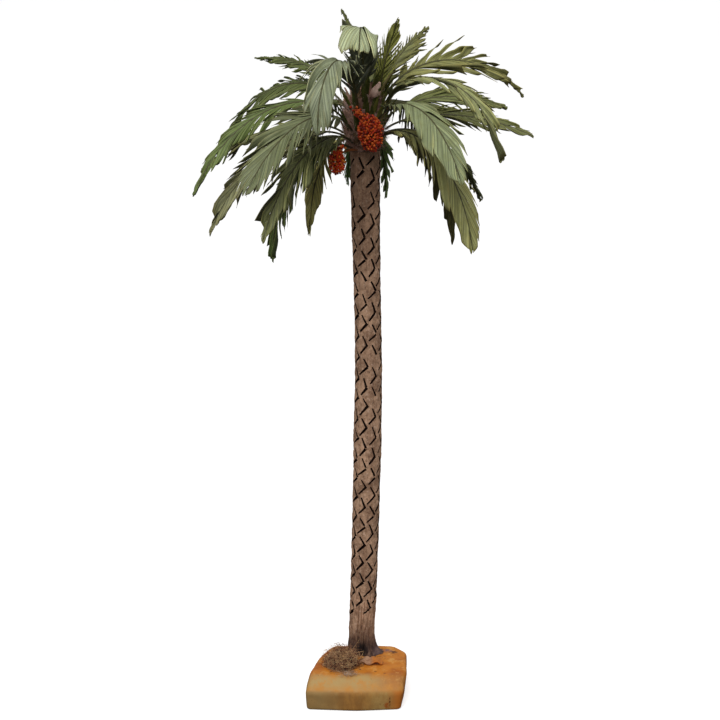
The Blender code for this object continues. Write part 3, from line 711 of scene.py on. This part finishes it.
def buildDates(side):
    bunch, name = dates[side], side.title()
    chance = random.Random(seed + len(side))
    centre, radii = Vector(bunch["centre"]), Vector(bunch["radii"])
    lean = Matrix.Rotation(radians(bunch["lean"]), 3, "Y")
    spots, tries = [], 0
    while len(spots) < bunch["beads"] and tries < bead["tries"]:
        tries += 1
        way = scatter(chance.gauss, 0, 1).normalized()
        deep = chance.uniform(*bead["depths"])
        lump = 1 + 0.10 * noise.noise(way * 3 + centre * 300)
        spot = centre + lean @ Vector([way[i] * radii[i] * deep * lump for i in range(3)])
        if all((spot - other).length > bead["apart"] for other in spots):
            spots.append(spot)
    first, last = (Vector(end) for end in bunch["sprig"])
    for _ in range(bunch["beads"] // bead["inSprig"]):
        spots.append(first.lerp(last, chance.random()) + scatter(chance.gauss, 0, bead["sprigSpread"]))
    shape = bmesh.new()
    bmesh.ops.create_uvsphere(shape, u_segments=8, v_segments=6, radius=1)
    bmesh.ops.scale(shape, verts=shape.verts, vec=(0.96, 0.96, 1.08))
    ways = [(spot - centre).normalized() + scatter(chance.uniform, -bead["tilt"], bead["tilt"]) for spot in spots]
    turns = [np.array(way.to_track_quat("Z", "Y").to_matrix()) for way in ways]
    sizes = [bead["radius"] * chance.uniform(*bead["sizes"]) for _ in spots]
    kinds = [chance.choice((0, 0, 0, 1, 1, 2)) for _ in spots]
    paints = []
    for kind, tints in dateTints.items():
        paint = Paint(kind + name, 0.42, Specular_IOR_Level=0.5)
        mottle = paint.speckle(700)
        # shine scales a bunch's colours up: painted light where the bunch hangs in shade
        fresh, ripe = ([min(255, value * bunch["shine"]) for value in tint] for tint in tints)
        colour = paint.coat(linear(*fresh), (mottle.over(0.4, 0.65), ripe))
        paints.append(paint.done(colour, mottle, 0.2, 0.0003))
    layCopies("dates" + name, shape, zip(spots, sizes, turns, kinds), paints, [bunch["node"]])

    root = heartPoint(*bunch["root"], twigs["off"])
    end = centre + upright * (radii.z * 0.5)
    rise = root.lerp(end, 0.5) + upright * twigs["rise"]
    paths, shares = [], np.linspace(0, 1, twigs["points"])
    for k in range(twigs["count"]):
        if k < twigs["inStalk"]:  # the strings of the stalk
            spread = scatter(chance.gauss, 0, twigs["spread"])
            paths.append([root.lerp(rise, t).lerp(rise.lerp(end, t), t) + spread for t in shares])
        else:  # the twigs among the dates
            spot = chance.choice(spots)
            inner = centre + (spot - centre) * 0.35 + upright * (radii.z * 0.3)
            paths.append([inner.lerp(spot, t) + upright * twigs["arch"] * sin(pi * t) for t in shares])
    twig = Paint("dateTwig" + name, 0.6, Base_Color=linear(150, 84, 34))
    layStrands("dateTwigs" + name, paths, twigs["radius"], [0] * len(paths), [twig])


for side in dates:
    buildDates(side)
report("dates made")

# Dry fibre and a pale chip on the block
tuft = dict(
    centre=(-0.0136, -0.0045), radii=(0.0166, 0.0168, 0.0156), strands=1700, steps=13, radius=0.00016,
    lengths=(0.012, 0.026), curls=(0.12, 0.6), frays=(0.86, 0.92, 1.0, 1.08, 1.18, 1.28), off=0.0004, lift=0.0006,
    ends=36, endLengths=(0.009, 0.016), endCurls=(0.03, 0.15), endHeight=0.009, wisp=120,
    wispSpot=(-0.0075, -0.0245, 0.0009), wispSpread=(0.0036, 0.0026), wispLengths=(0.003, 0.008),
    wispCurls=(0.1, 0.5), coreShare=0.74, coreLump=0.08,
)


def curl(chance, start, lengths, curls):
    long, tight = chance.uniform(*lengths), chance.uniform(*curls)
    way = scatter(chance.gauss, 0, 1).normalized()
    turn = Matrix.Rotation(tight, 3, scatter(chance.gauss, 0, 1).normalized())
    spot, path = start.copy(), []
    for _ in range(tuft["steps"]):
        path.append(spot.copy())
        spot += way * long / tuft["steps"]
        way = turn @ way
    return path


def tuftLump(way):
    return 1 + 0.22 * noise.noise(way * 2.3 + Vector((5, 1, 3)))


def buildTuft():
    chance = random.Random(seed + 5)
    floor, low = blockTop + tuft["off"], blockTop + tuft["lift"]
    centre, radii = Vector((*tuft["centre"], floor)), Vector(tuft["radii"])
    paths, marks = [], []
    while len(paths) < tuft["strands"]:
        way = scatter(chance.gauss, 0, 1).normalized()
        way.z = abs(way.z)
        lump = tuftLump(way)
        start = centre + Vector([way[i] * radii[i] * chance.uniform(0.2, 1.0) * lump for i in range(3)])
        path = curl(chance, start, tuft["lengths"], tuft["curls"])
        kept, fray = [], chance.choice(tuft["frays"])
        for spot in path:
            away = Vector([(spot - centre)[i] / radii[i] for i in range(3)])
            if away.length > fray * lump:
                away *= fray * lump / away.length
            kept.append(centre + Vector([away[i] * radii[i] for i in range(3)]))
            kept[-1].z = max(kept[-1].z, low)
        paths.append(kept)
        marks.append(chance.choice((0, 0, 1, 1, 1, 2, 2)))
    for _ in range(tuft["ends"]):  # loose ends that stand up at the back
        start = centre + Vector((chance.uniform(0.000, 0.012), chance.uniform(0.006, 0.013), tuft["endHeight"]))
        path = curl(chance, start, tuft["endLengths"], tuft["endCurls"])
        paths.append([Vector((p.x, p.y, max(p.z, low))) for p in path])
        marks.append(chance.choice((1, 2, 2)))
    for _ in range(tuft["wisp"]):  # a pale wisp on the block before the tuft
        x, y, z = tuft["wispSpot"]
        x, y = (middle + chance.gauss(0, spread) for middle, spread in zip((x, y), tuft["wispSpread"]))
        path = curl(chance, Vector((x, y, blockTop + z)), tuft["wispLengths"], tuft["wispCurls"])
        paths.append([Vector((p.x, p.y, floor + abs(p.z - floor) * 0.5)) for p in path])
        marks.append(3)
    paints = [fibrePaint("fibreBrown", (116, 80, 62), (84, 56, 46)),
              fibrePaint("fibreMid", (190, 142, 104), (150, 106, 78)),
              fibrePaint("fibreGold", (244, 208, 160), (216, 170, 118)),
              fibrePaint("fibrePale", (206, 178, 150), (180, 148, 118))]
    layStrands("fibreTuft", paths, tuft["radius"], marks, paints, ["fibre_tuft"])

    bm = bmesh.new()  # the matted core of the tuft
    bmesh.ops.create_icosphere(bm, subdivisions=4, radius=1)
    for vert in bm.verts:
        way = vert.co.copy()
        lump = tuftLump(way) * tuft["coreShare"] + tuft["coreLump"] * noise.noise(way * 9)
        vert.co = centre + Vector([way[i] * radii[i] * lump for i in range(3)])
        vert.co.z = max(vert.co.z, floor)
    finishPiece("tuftCore", bm, [fibrePaint("fibreCore", (50, 32, 26), (76, 50, 38))])


buildTuft()

chip = dict(
    centre=(0.0130, -0.0016), length=0.0204, depth=0.0096, rise=0.0066, thick=0.0012, turn=-4, lip=0.0014,
    gap=0.0002, off=0.0003,
)


def buildChip():
    def sheet(u, v):
        along, across = (u - 0.5) * chip["length"], v - 0.5
        wave = noise.noise(Vector((u * 5, v * 2, 7)))
        half = chip["depth"] * (0.52 + 0.48 * sin(pi * (0.12 + 0.8 * u))) * (1 + 0.12 * wave)
        arch = sin(pi * u) * 0.45 + 0.5 * abs(sin(2.2 * pi * u)) * 0.5
        back = smooth(0.5 + across)
        lip = chip["lip"] * (1 - back) * (0.6 + sin(2 * pi * (1.6 * u + 0.1)))
        bow = max(0.0, chip["rise"] * arch * (0.12 + 0.88 * back) * (0.8 + 0.3 * wave) + lip)
        return Vector((along, across * half, chip["thick"] / 2 + chip["gap"] + bow))

    bm = bmesh.new()
    gridOf(bm, 36, 14, sheet)
    bmesh.ops.rotate(bm, verts=bm.verts, cent=(0, 0, 0), matrix=Matrix.Rotation(radians(chip["turn"]), 3, "Z"))
    bmesh.ops.translate(bm, verts=bm.verts, vec=(*chip["centre"], blockTop + chip["off"]))
    paint = Paint("chipWood", 0.7, Specular_IOR_Level=0.3)
    grain = paint.speckle(700, 4, 0.7, (0.3, 1, 1))
    coats = (grain.over(0.4, 0.7), (134, 90, 62)), (paint.axis("X").over(0.011, 0.016), (190, 114, 46))
    paint.done(paint.coat(linear(176, 136, 106), *coats), grain, 0.5, 0.0005)
    wall = finishPiece("paleChip", bm, [paint], ["foot_chip"]).modifiers.new("thickness", "SOLIDIFY")
    wall.thickness, wall.offset = chip["thick"], 0


buildChip()
report("block dressed")

# The fronds
# name: azimuth, tier (mm), rise, bend, power, length (mm), half width (mm), fold, bank, sweep,
#       rib share with free straps, strap width, leaf colour, how dark the underside is painted as painted shade
fronds = {
    "front_left": (-106, 34, 66, 158, 1.3, 164, 22, 6, 0, 0, 0.4, 0.9, (118, 125, 98), 0.66),
    "front_top": (-93, 42, 89, 172, 1.8, 122, 16, 6, 14, 0, -0.2, 0.9, (150, 158, 122), 0.5),
    "up_right": (-20, 47, 83, 16, 0.9, 64, 10, 8, 62, 0, 0.42, 1.3, (118, 120, 58), 1),
    "back_right": (52, 42, 57, 36, 0.7, 92, 14, 12, 0, 0, 1.2, 0.9, (102, 104, 60), 0.8),
    "right_high": (33, 34, 88, 130, 0.5, 172, 25, -12, -32, 0, 0.9, 1.2, (120, 120, 70), 0.8),
    "right_long": (-39, 28, 88, 164, 0.7, 168, 16, 10, 0, 0, 0.55, 0.8, (126, 130, 84), 0.7),
    "right_light": (-59, 22, 72, 120, 0.5, 172, 19, 10, 0, -12, 0.24, 0.8, (116, 124, 88), 0.66),
    "right_olive": (-47, 9, 62, 138, 0.5, 166, 18, 12, 0, -12, 0.36, 0.8, (136, 136, 84), 0.66),
    "right_mid": (-10, 18, 43, 66, 0.5, 127, 14, 8, -30, 0, 0.5, 0.9, (102, 106, 60), 0.7),
    "right_short": (8, 26, 48, 70, 0.6, 108, 18, 8, -20, 0, 0.7, 0.7, (100, 106, 60), 0.7),
    "right_behind": (32, 11, 38, 104, 0.5, 134, 16, 14, 0, 0, 0.9, 0.8, (78, 82, 48), 1),
    "right_under": (47, 5, 48, 138, 0.5, 168, 15, 14, 0, 0, 0.6, 1.1, (80, 76, 38), 1),
    "left_far": (-151, 24, 74, 138, 0.5, 172, 13, 8, 12, 0, 0.55, 0.8, (90, 104, 54), 0.7),
    "left_high": (147, 32, 75, 135, 0.5, 160, 18, 8, 28, 0, 0.95, 0.7, (86, 96, 50), 0.75),
    "left_fan": (-124, 18, 62, 110, 0.5, 164, 26, 6, 8, 0, 0.5, 0.8, (100, 106, 74), 0.66),
    "left_low": (-155, 12, 42, 108, 0.5, 156, 19, 8, 10, 0, 0.5, 0.7, (118, 118, 82), 0.66),
    # left_droop's colour is painted lighter: painted light against the shade of left_fan above it
    "left_droop": (-126, 8, 50, 116, 0.5, 152, 21, 8, 0, 0, 0.48, 0.8, (112, 116, 72), 0.66),
    "left_hang": (-137, 3, 38, 127, 0.6, 143, 15, 8, 0, 6, 0.62, 0.8, (98, 116, 62), 0.7),
    "left_under": (117, 4, 24, 110, 0.6, 150, 12, 12, 0, 0, 0.45, 1, (158, 154, 92), 1),
    "left_back": (170, 14, 40, 84, 0.5, 136, 16, 12, 0, 0, 0.7, 0.7, (96, 98, 60), 0.8),
    "back_left": (148, 42, 52, 60, 0.7, 102, 10, 12, 20, 0, 1, 0.8, (82, 92, 46), 0.8),
    "spike_left": (112, 48, 88, 72, 1.4, 80, 6, 12, 0, 0, 1.2, 1, (76, 82, 40), 1),
    "hang_left": (100, 6, 46, 130, 0.6, 98, 13, 12, 0, 0, 1.1, 1.1, (112, 148, 80), 1),
    "hang_right": (76, 6, 54, 144, 0.5, 104, 10, 12, 0, 0, 1.1, 2.4, (116, 142, 76), 1),
    "back_high": (88, 36, 74, 128, 0.7, 150, 20, 12, 0, 0, 0.6, 0.8, (98, 102, 62), 0.66),
    "back_mid_left": (114, 22, 62, 124, 0.5, 156, 20, 12, 0, 0, 0.6, 0.8, (96, 102, 58), 0.7),
    "back_mid_right": (66, 22, 62, 124, 0.5, 156, 20, 12, 0, 0, 0.6, 0.8, (104, 106, 64), 0.7),
    "back_low": (89, 14, 44, 116, 0.5, 150, 18, 12, 0, 0, 0.6, 0.8, (94, 100, 58), 0.7),
}
blade = dict(
    steps=64, rootHalf=0.0012, tipHalf=0.0006, ribThick=0.0018, seatGap=0.0003, bankedBy=0.35,
    leaflets=9, tipLeaflets=3, start=0.10, end=0.80, angle=42, tipAngle=20, lastAngle=5,
    draws=(0.92, 1.06), tipDraws=(0.96, 1.02), point=(1.0, 0.96, 0.82), lift=0.05,
    thick=0.00034, pleat=0.00034, keel=0.0042, wave=0.0028, shingle=0.00016, rows=14, wisps=3,
    seat=0.0013, probe=0.62, probeSteps=16, probeReach=0.96, whole=0.8, least=0.2,
    lean=0.74, openLean=1.12, openFrom=0.7, openTo=0.9, pointFrom=0.70, pointed=0.6,
    rounded={"front_top": 0.0, "front_left": 0.22, "right_olive": 0.0, "left_fan": 0.0, "right_light": 0.0},
    blunt=("front_top",), bluntFrom=0.45, bluntTo=0.96, slim={"spike_left": 0.45},
    ribRoot=1.0, ribTip=0.85, ribFlat=0.75, ribSides=10, ribRows=48,
)


class Frond:
    def __init__(self, name):
        self.name = name
        (azimuth, tier, rise, bend, power, length, half,
         self.fold, bank, sweep, self.opened, self.wide, self.tint, self.under) = fronds[name]
        self.length, self.halfWidth, steps = length / 1000, half / 1000, blade["steps"]
        seat = blade["seatGap"] + blade["ribThick"] / 2 * sin(radians(rise)) + 0.0001
        self.points = [heartPoint(azimuth, tier / 1000, seat)]
        self.frames = []
        for i in range(steps + 1):
            t = i / steps
            slope = radians(rise - bend * t ** power)
            out = outward(radians(azimuth + sweep * t))
            along = out * cos(slope) + Vector((0, 0, sin(slope)))
            right = Vector((out.y, -out.x, 0))
            above, roll = right.cross(along), radians(bank) * min(1, t / blade["bankedBy"])
            self.frames.append((along, right * cos(roll) + above * sin(roll),
                                above * cos(roll) - right * sin(roll)))
        for i in range(steps):
            along = (self.frames[i][0] + self.frames[i + 1][0]) / 2
            self.points.append(self.points[-1] + along * self.length / steps)

    def point(self, along, aside, lift=0.0):
        u = min(max(along / self.length, 0), 1) * blade["steps"]
        k = min(int(u), blade["steps"] - 1)
        centre = self.points[k].lerp(self.points[k + 1], u - k)
        forward, right, above = (a.lerp(b, u - k) for a, b in zip(self.frames[k], self.frames[k + 1]))
        centre = centre + forward * max(0.0, along - self.length)
        droop = radians(self.fold)
        return centre + right * aside * cos(droop) + above * (lift - abs(aside) * sin(droop))

    def ribHalf(self, along):
        return blade["rootHalf"] + (blade["tipHalf"] - blade["rootHalf"]) * min(1, along / self.length)

    def outline(self, t):  # the source's rule for half the blade's width
        if t < 0.45:
            k = max(0.0, (t - 0.06) / 0.39)
            return self.halfWidth * (0.35 + 0.65 * (k * k * (3 - 2 * k)) ** 0.7)
        k = min(1.0, max(0.0, (t - 0.55) / 0.47))
        return self.halfWidth * (1 - k ** 2.2) ** 0.6

    def open(self):  # 1 on a frond whose straps are free along most of its rib
        return smooth(self.opened, blade["openFrom"], blade["openTo"])


class HalfBlade:  # the lines that part one half's leaflets, drawn by the source's rule and carried on to the tip
    def __init__(self, frond, side):
        self.frond, self.side, self.blunt, self.pointed = frond, side, False, 0.0
        chance = random.Random(f"{frond.name} {side}")
        count, extra = blade["leaflets"], blade["tipLeaflets"]
        shares = [blade["start"] + (blade["end"] - blade["start"]) * i / count for i in range(count + 1)]
        step = (blade["tipAngle"] - blade["angle"]) / (blade["end"] - blade["start"])
        angles = [blade["angle"] + step * (t - blade["start"]) for t in shares]
        for k in range(1, extra + 1):
            shares.append(blendOf(blade["end"], 1.0, k / extra))
            angles.append(blendOf(blade["tipAngle"], blade["lastAngle"], k / extra))
        self.starts = [frond.length * t for t in shares]
        self.angles = [radians(angle) for angle in angles]
        self.draws = [chance.uniform(*blade["draws"]) for _ in range(count + 1)]
        for _ in range(2 * count + 2):  # the source draws its slits and tips here
            chance.random()
        self.lifts = [chance.uniform(-blade["lift"], blade["lift"]) for _ in range(count + 1)] + [0.0] * extra
        self.draws += [chance.uniform(*blade["tipDraws"]) * share for share in blade["point"]]
        self.reach = [self.toOutline(i) * draw for i, draw in enumerate(self.draws)]
        self.shares = [1.0] * (count + extra)

    def toOutline(self, i):  # how far line i runs before it leaves the blade's outline
        low, high = 0.0, 3 * self.frond.halfWidth
        for _ in range(24):
            middle = (low + high) / 2
            t = (self.starts[i] + middle * cos(self.angles[i])) / self.frond.length
            limit = self.frond.outline(t) * (1 - self.pointed * smooth(t, blade["pointFrom"], 1.0))
            if self.blunt and t > blade["bluntFrom"]:
                limit = self.frond.halfWidth if t < blade["bluntTo"] else 0.0
            if middle * sin(self.angles[i]) < limit:
                low = middle
            else:
                high = middle
        return low

    def line(self, values, f):
        k = min(int(f), len(values) - 2)
        return blendOf(values[k], values[k + 1], f - k)

    def spot(self, f, distance, lift=0.0):
        start, angle = self.line(self.starts, f), self.line(self.angles, f)
        out = self.frond.ribHalf(start) * 0.5 + distance * sin(angle)
        return self.frond.point(start + distance * cos(angle), self.side * out, lift)

    def follow(self, tree):  # each leaflet ends where its CAD leaflet does
        name, steps, reach = self.frond.name, blade["probeSteps"], blade["probeReach"]
        for i in range(blade["leaflets"]):
            reached, f = 0.0, i + blade["probe"]
            for k in range(2, steps + 1):
                spot = self.spot(f, self.line(self.reach, f) * k / steps * reach)
                if tree.find_nearest(spot, blade["seat"] + self.reach[i] * 0.06)[0] is None:
                    break
                reached = k / steps
            self.shares[i] = 1.0 if reached > blade["whole"] else reached
        lean = blendOf(blade["lean"], blade["openLean"], self.frond.open())
        self.angles = [angle * lean for angle in self.angles]
        self.blunt, slim = name in blade["blunt"], blade["slim"].get(name, 1.0)
        self.pointed = blade["rounded"].get(name, blade["pointed"])
        self.reach = [self.toOutline(i) * draw * slim for i, draw in enumerate(self.draws)]


def shaded(tint, red, green, blue, more=0):  # a colour with each part scaled, no lighter than white
    return [min(255, value * share + more) for value, share in zip(tint, (red, green, blue))]


def leafPaint(name, tint):
    paint = Paint(name, 0.55, Specular_IOR_Level=0.35)
    vein = paint.speckle(1.0, 4, 0.75, (0.95, 0.10, 1), "along")  # the fine lines along each strap
    band = paint.speckle(1.0, 2, 0.5, (0.27, 0.03, 1), "along")  # one strap lighter than the next: painted light and shade for how each strap faces the light
    cloud = paint.speckle(130, 4, 0.65)
    along = paint.axis("Y", layer="along")
    edge = abs(paint.axis("X", (2, 1, 1), "strap") - 1)
    # painted highlight along the edges of each strap
    rimHighlight = edge.over(0.80, 1.0) * along.over(0.3, 0.6) * vein.over(0.4, 0.6, 0.2, 0.7)
    shade = paint.coat(
        linear(*shaded(tint, 0.56, 0.56, 0.56)),
        # veins, and painted light and shade strap by strap
        (vein.over(0.38, 0.62) * 0.55 + band.over(0.38, 0.62) * 0.45, shaded(tint, 1.36, 1.36, 1.36, 8)),
        (cloud.over(0.45, 0.75) * 0.45, shaded(tint, 0.98, 0.94, 0.72)),
        (along.over(0.90, 1.0) * 0.5, shaded(tint, 0.92, 0.78, 0.5)),  # drier at the tips
        # painted highlight on the strap edges
        (rimHighlight, shaded(tint, 1.45, 1.35, 1.2, 20)))
    return paint.done(shade, vein, 0.5, 0.0005, Roughness=cloud.over(0.2, 0.8, 0.48, 0.68))


ribPaint = Paint("frondRib", 0.6)
ribPaint.set(Base_Color=ribPaint.mix(ribPaint.speckle(260), linear(52, 56, 26), linear(84, 78, 40)))
slit = dict(
    fade=0.14, wideStep=(0.6, 1.1), freeStep=(0.48, 0.82), kept=0.45, last=0.5, wideDepth=(0.70, 0.96),
    freeDepth=(0.04, 0.24), first=0.1,
)
strap = dict(
    perLeaflet=6, oblique=(0.66, 0.84), narrow=(0.26, 0.50), openNarrow=0.35, joinedTip=0.3, freeTip=0.94,
    tipFrom=0.78, sway=0.3, rise=0.035, twist=0.3, strayEnd=((0.04, 0.16), 4.5), bent=0.10, bentFree=0.55,
    bentEnd=((0.08, 0.16), 0.8), wispWidth=(0.09, 0.17), wispSlit=0.03,
)


def slitsOf(half, chance):  # where the half is slit, and how far out from the rib each slit starts
    frond, fade = half.frond, slit["fade"]
    slits, f, last = [(0.0, slit["first"])], 0.0, blade["leaflets"] + blade["tipLeaflets"]
    while True:
        free = 1 - smooth(half.line(half.starts, f) / frond.length, frond.opened - fade, frond.opened + fade)
        f += blendOf(chance.uniform(*slit["wideStep"]), chance.uniform(*slit["freeStep"]) * frond.wide, free)
        if f > last - slit["last"]:
            break
        if chance.random() > slit["kept"] + free:
            continue
        deep = blendOf(chance.uniform(*slit["wideDepth"]), chance.uniform(*slit["freeDepth"]), min(1, free * 1.3))
        slits.append((f, deep))
    return slits + [(last, 1.0)]


def layStrap(bm, layers, half, chance, near, far, stray=False):  # the leaf between two slits
    wide = far[0] - near[0]
    middle = (near[0] + far[0]) / 2
    share = half.shares[min(int(middle), len(half.shares) - 1)]
    if share < blade["least"]:
        return
    first = min(near[1], far[1])
    free = 1 - first
    columns = max(2, round(wide * strap["perLeaflet"]))
    oblique = blendOf(1.0, chance.uniform(*strap["oblique"]), 1 - near[1])
    apart = smooth(1 - near[1], 0.05, 0.5)
    narrow = chance.uniform(*strap["narrow"]) * apart * (1 + strap["openNarrow"] * half.frond.open())
    sway = chance.uniform(-strap["sway"], strap["sway"]) * free
    rise, twist = chance.gauss(0, strap["rise"]) * free, chance.uniform(-strap["twist"], strap["twist"]) * free
    lift, wave = half.line(half.lifts, middle) * free, chance.uniform(0, 90)
    full = [half.line(half.reach, f) * share for f in (near[0], far[0])]
    bent = not stray and chance.random() < strap["bent"] and free > strap["bentFree"]
    if stray or bent:
        rises, most = strap["strayEnd" if stray else "bentEnd"]
        rise, sway = chance.choice((-1, 1)) * chance.uniform(*rises), chance.uniform(-most, most)

    def place(u, v):
        loose = smooth(v, first * 0.8, 1.05)
        gap = narrow * min(1.0, max(0.0, v - near[1]) / 0.4)
        tip = blendOf(strap["joinedTip"], strap["freeTip"], apart)
        gap += (tip - gap) * smooth(v, max(strap["tipFrom"], near[1]), 1.04)
        f = blendOf(near[0] + wide * gap, far[0], u)
        distance = half.line(half.reach, f) * share * v * blendOf(oblique, 1.0, u)
        f = min(f + wide * sway * loose ** 1.5, len(half.starts) - 1)
        fold = (abs(2 * u - 1) - 0.5) * wide * blade["keel"] * smooth(v, 0, 0.2) * (1 - 0.5 * v)
        pleat = abs(sin(pi * u * columns / 2)) * blade["pleat"] * smooth(v, 0.0, 0.25) * (1 - 0.4 * v)
        ripple = noise.noise(Vector((f * 0.7, v * 1.6, wave if free > 0.5 else half.side * 7))) * blade["wave"] * v
        bend = (lift + rise * loose + twist * (u - 0.5) * wide) * loose * blendOf(*full, u)
        shingle = blade["shingle"] * (1 - u) * smooth(v, 0, 0.2)
        return half.spot(f, distance, fold * free - pleat + ripple + bend - shingle)

    made = gridOf(bm, columns, blade["rows"], place, layers, near[0] * 10, wide * 10)
    if half.side > 0:
        bmesh.ops.reverse_faces(bm, faces=list({face for vert in made for face in vert.link_faces}))


def buildFrond(name):
    frond = Frond(name)
    nodes = [f"frond_{name}{end}" for end in ("", "_inner", "_outer") if f"frond_{name}{end}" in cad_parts]
    points, polygons = [], []
    for node in nodes:
        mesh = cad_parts[node].data
        polygons += [[len(points) + k for k in polygon.vertices] for polygon in mesh.polygons]
        points += [vert.co.copy() for vert in mesh.vertices]
    tree = BVHTree.FromPolygons(points, polygons)
    bm = bmesh.new()
    layers = [bm.loops.layers.uv.new(kind) for kind in ("along", "strap")]
    for side in (-1, 1):
        half = HalfBlade(frond, side)
        half.follow(tree)
        chance = random.Random(f"{name} straps {side}")
        slits = slitsOf(half, chance)
        for near, far in zip(slits, slits[1:]):
            layStrap(bm, layers, half, chance, near, far)
        for _ in range(blade["wisps"]):
            f = chance.uniform(0.2, max(1.0, frond.opened * blade["leaflets"]))
            ends = [(f, strap["wispSlit"]), (f + chance.uniform(*strap["wispWidth"]), strap["wispSlit"])]
            layStrap(bm, layers, half, chance, *ends, True)
    # the underside paint is the leaf colour darkened by the frond's last column: painted shade
    paints = [leafPaint("leaf." + name, frond.tint),
              leafPaint("underleaf." + name, [value * frond.under for value in frond.tint])]
    piece = finishPiece("frond." + name, bm, paints, nodes)
    wall = piece.modifiers.new("thickness", "SOLIDIFY")
    wall.thickness, wall.offset, wall.material_offset = blade["thick"], 0, 1

    def rib(u, v):
        along, turn = v * frond.length, 2 * pi * u
        radius = frond.ribHalf(along) * blendOf(blade["ribRoot"], blade["ribTip"], v)
        return frond.point(along, radius * cos(turn), radius * blade["ribFlat"] * sin(turn))

    bm = bmesh.new()
    tubeOf(bm, blade["ribSides"], blade["ribRows"], rib)
    finishPiece("rib." + name, bm, [ribPaint])


for name in fronds:
    buildFrond(name)
report("fronds made")
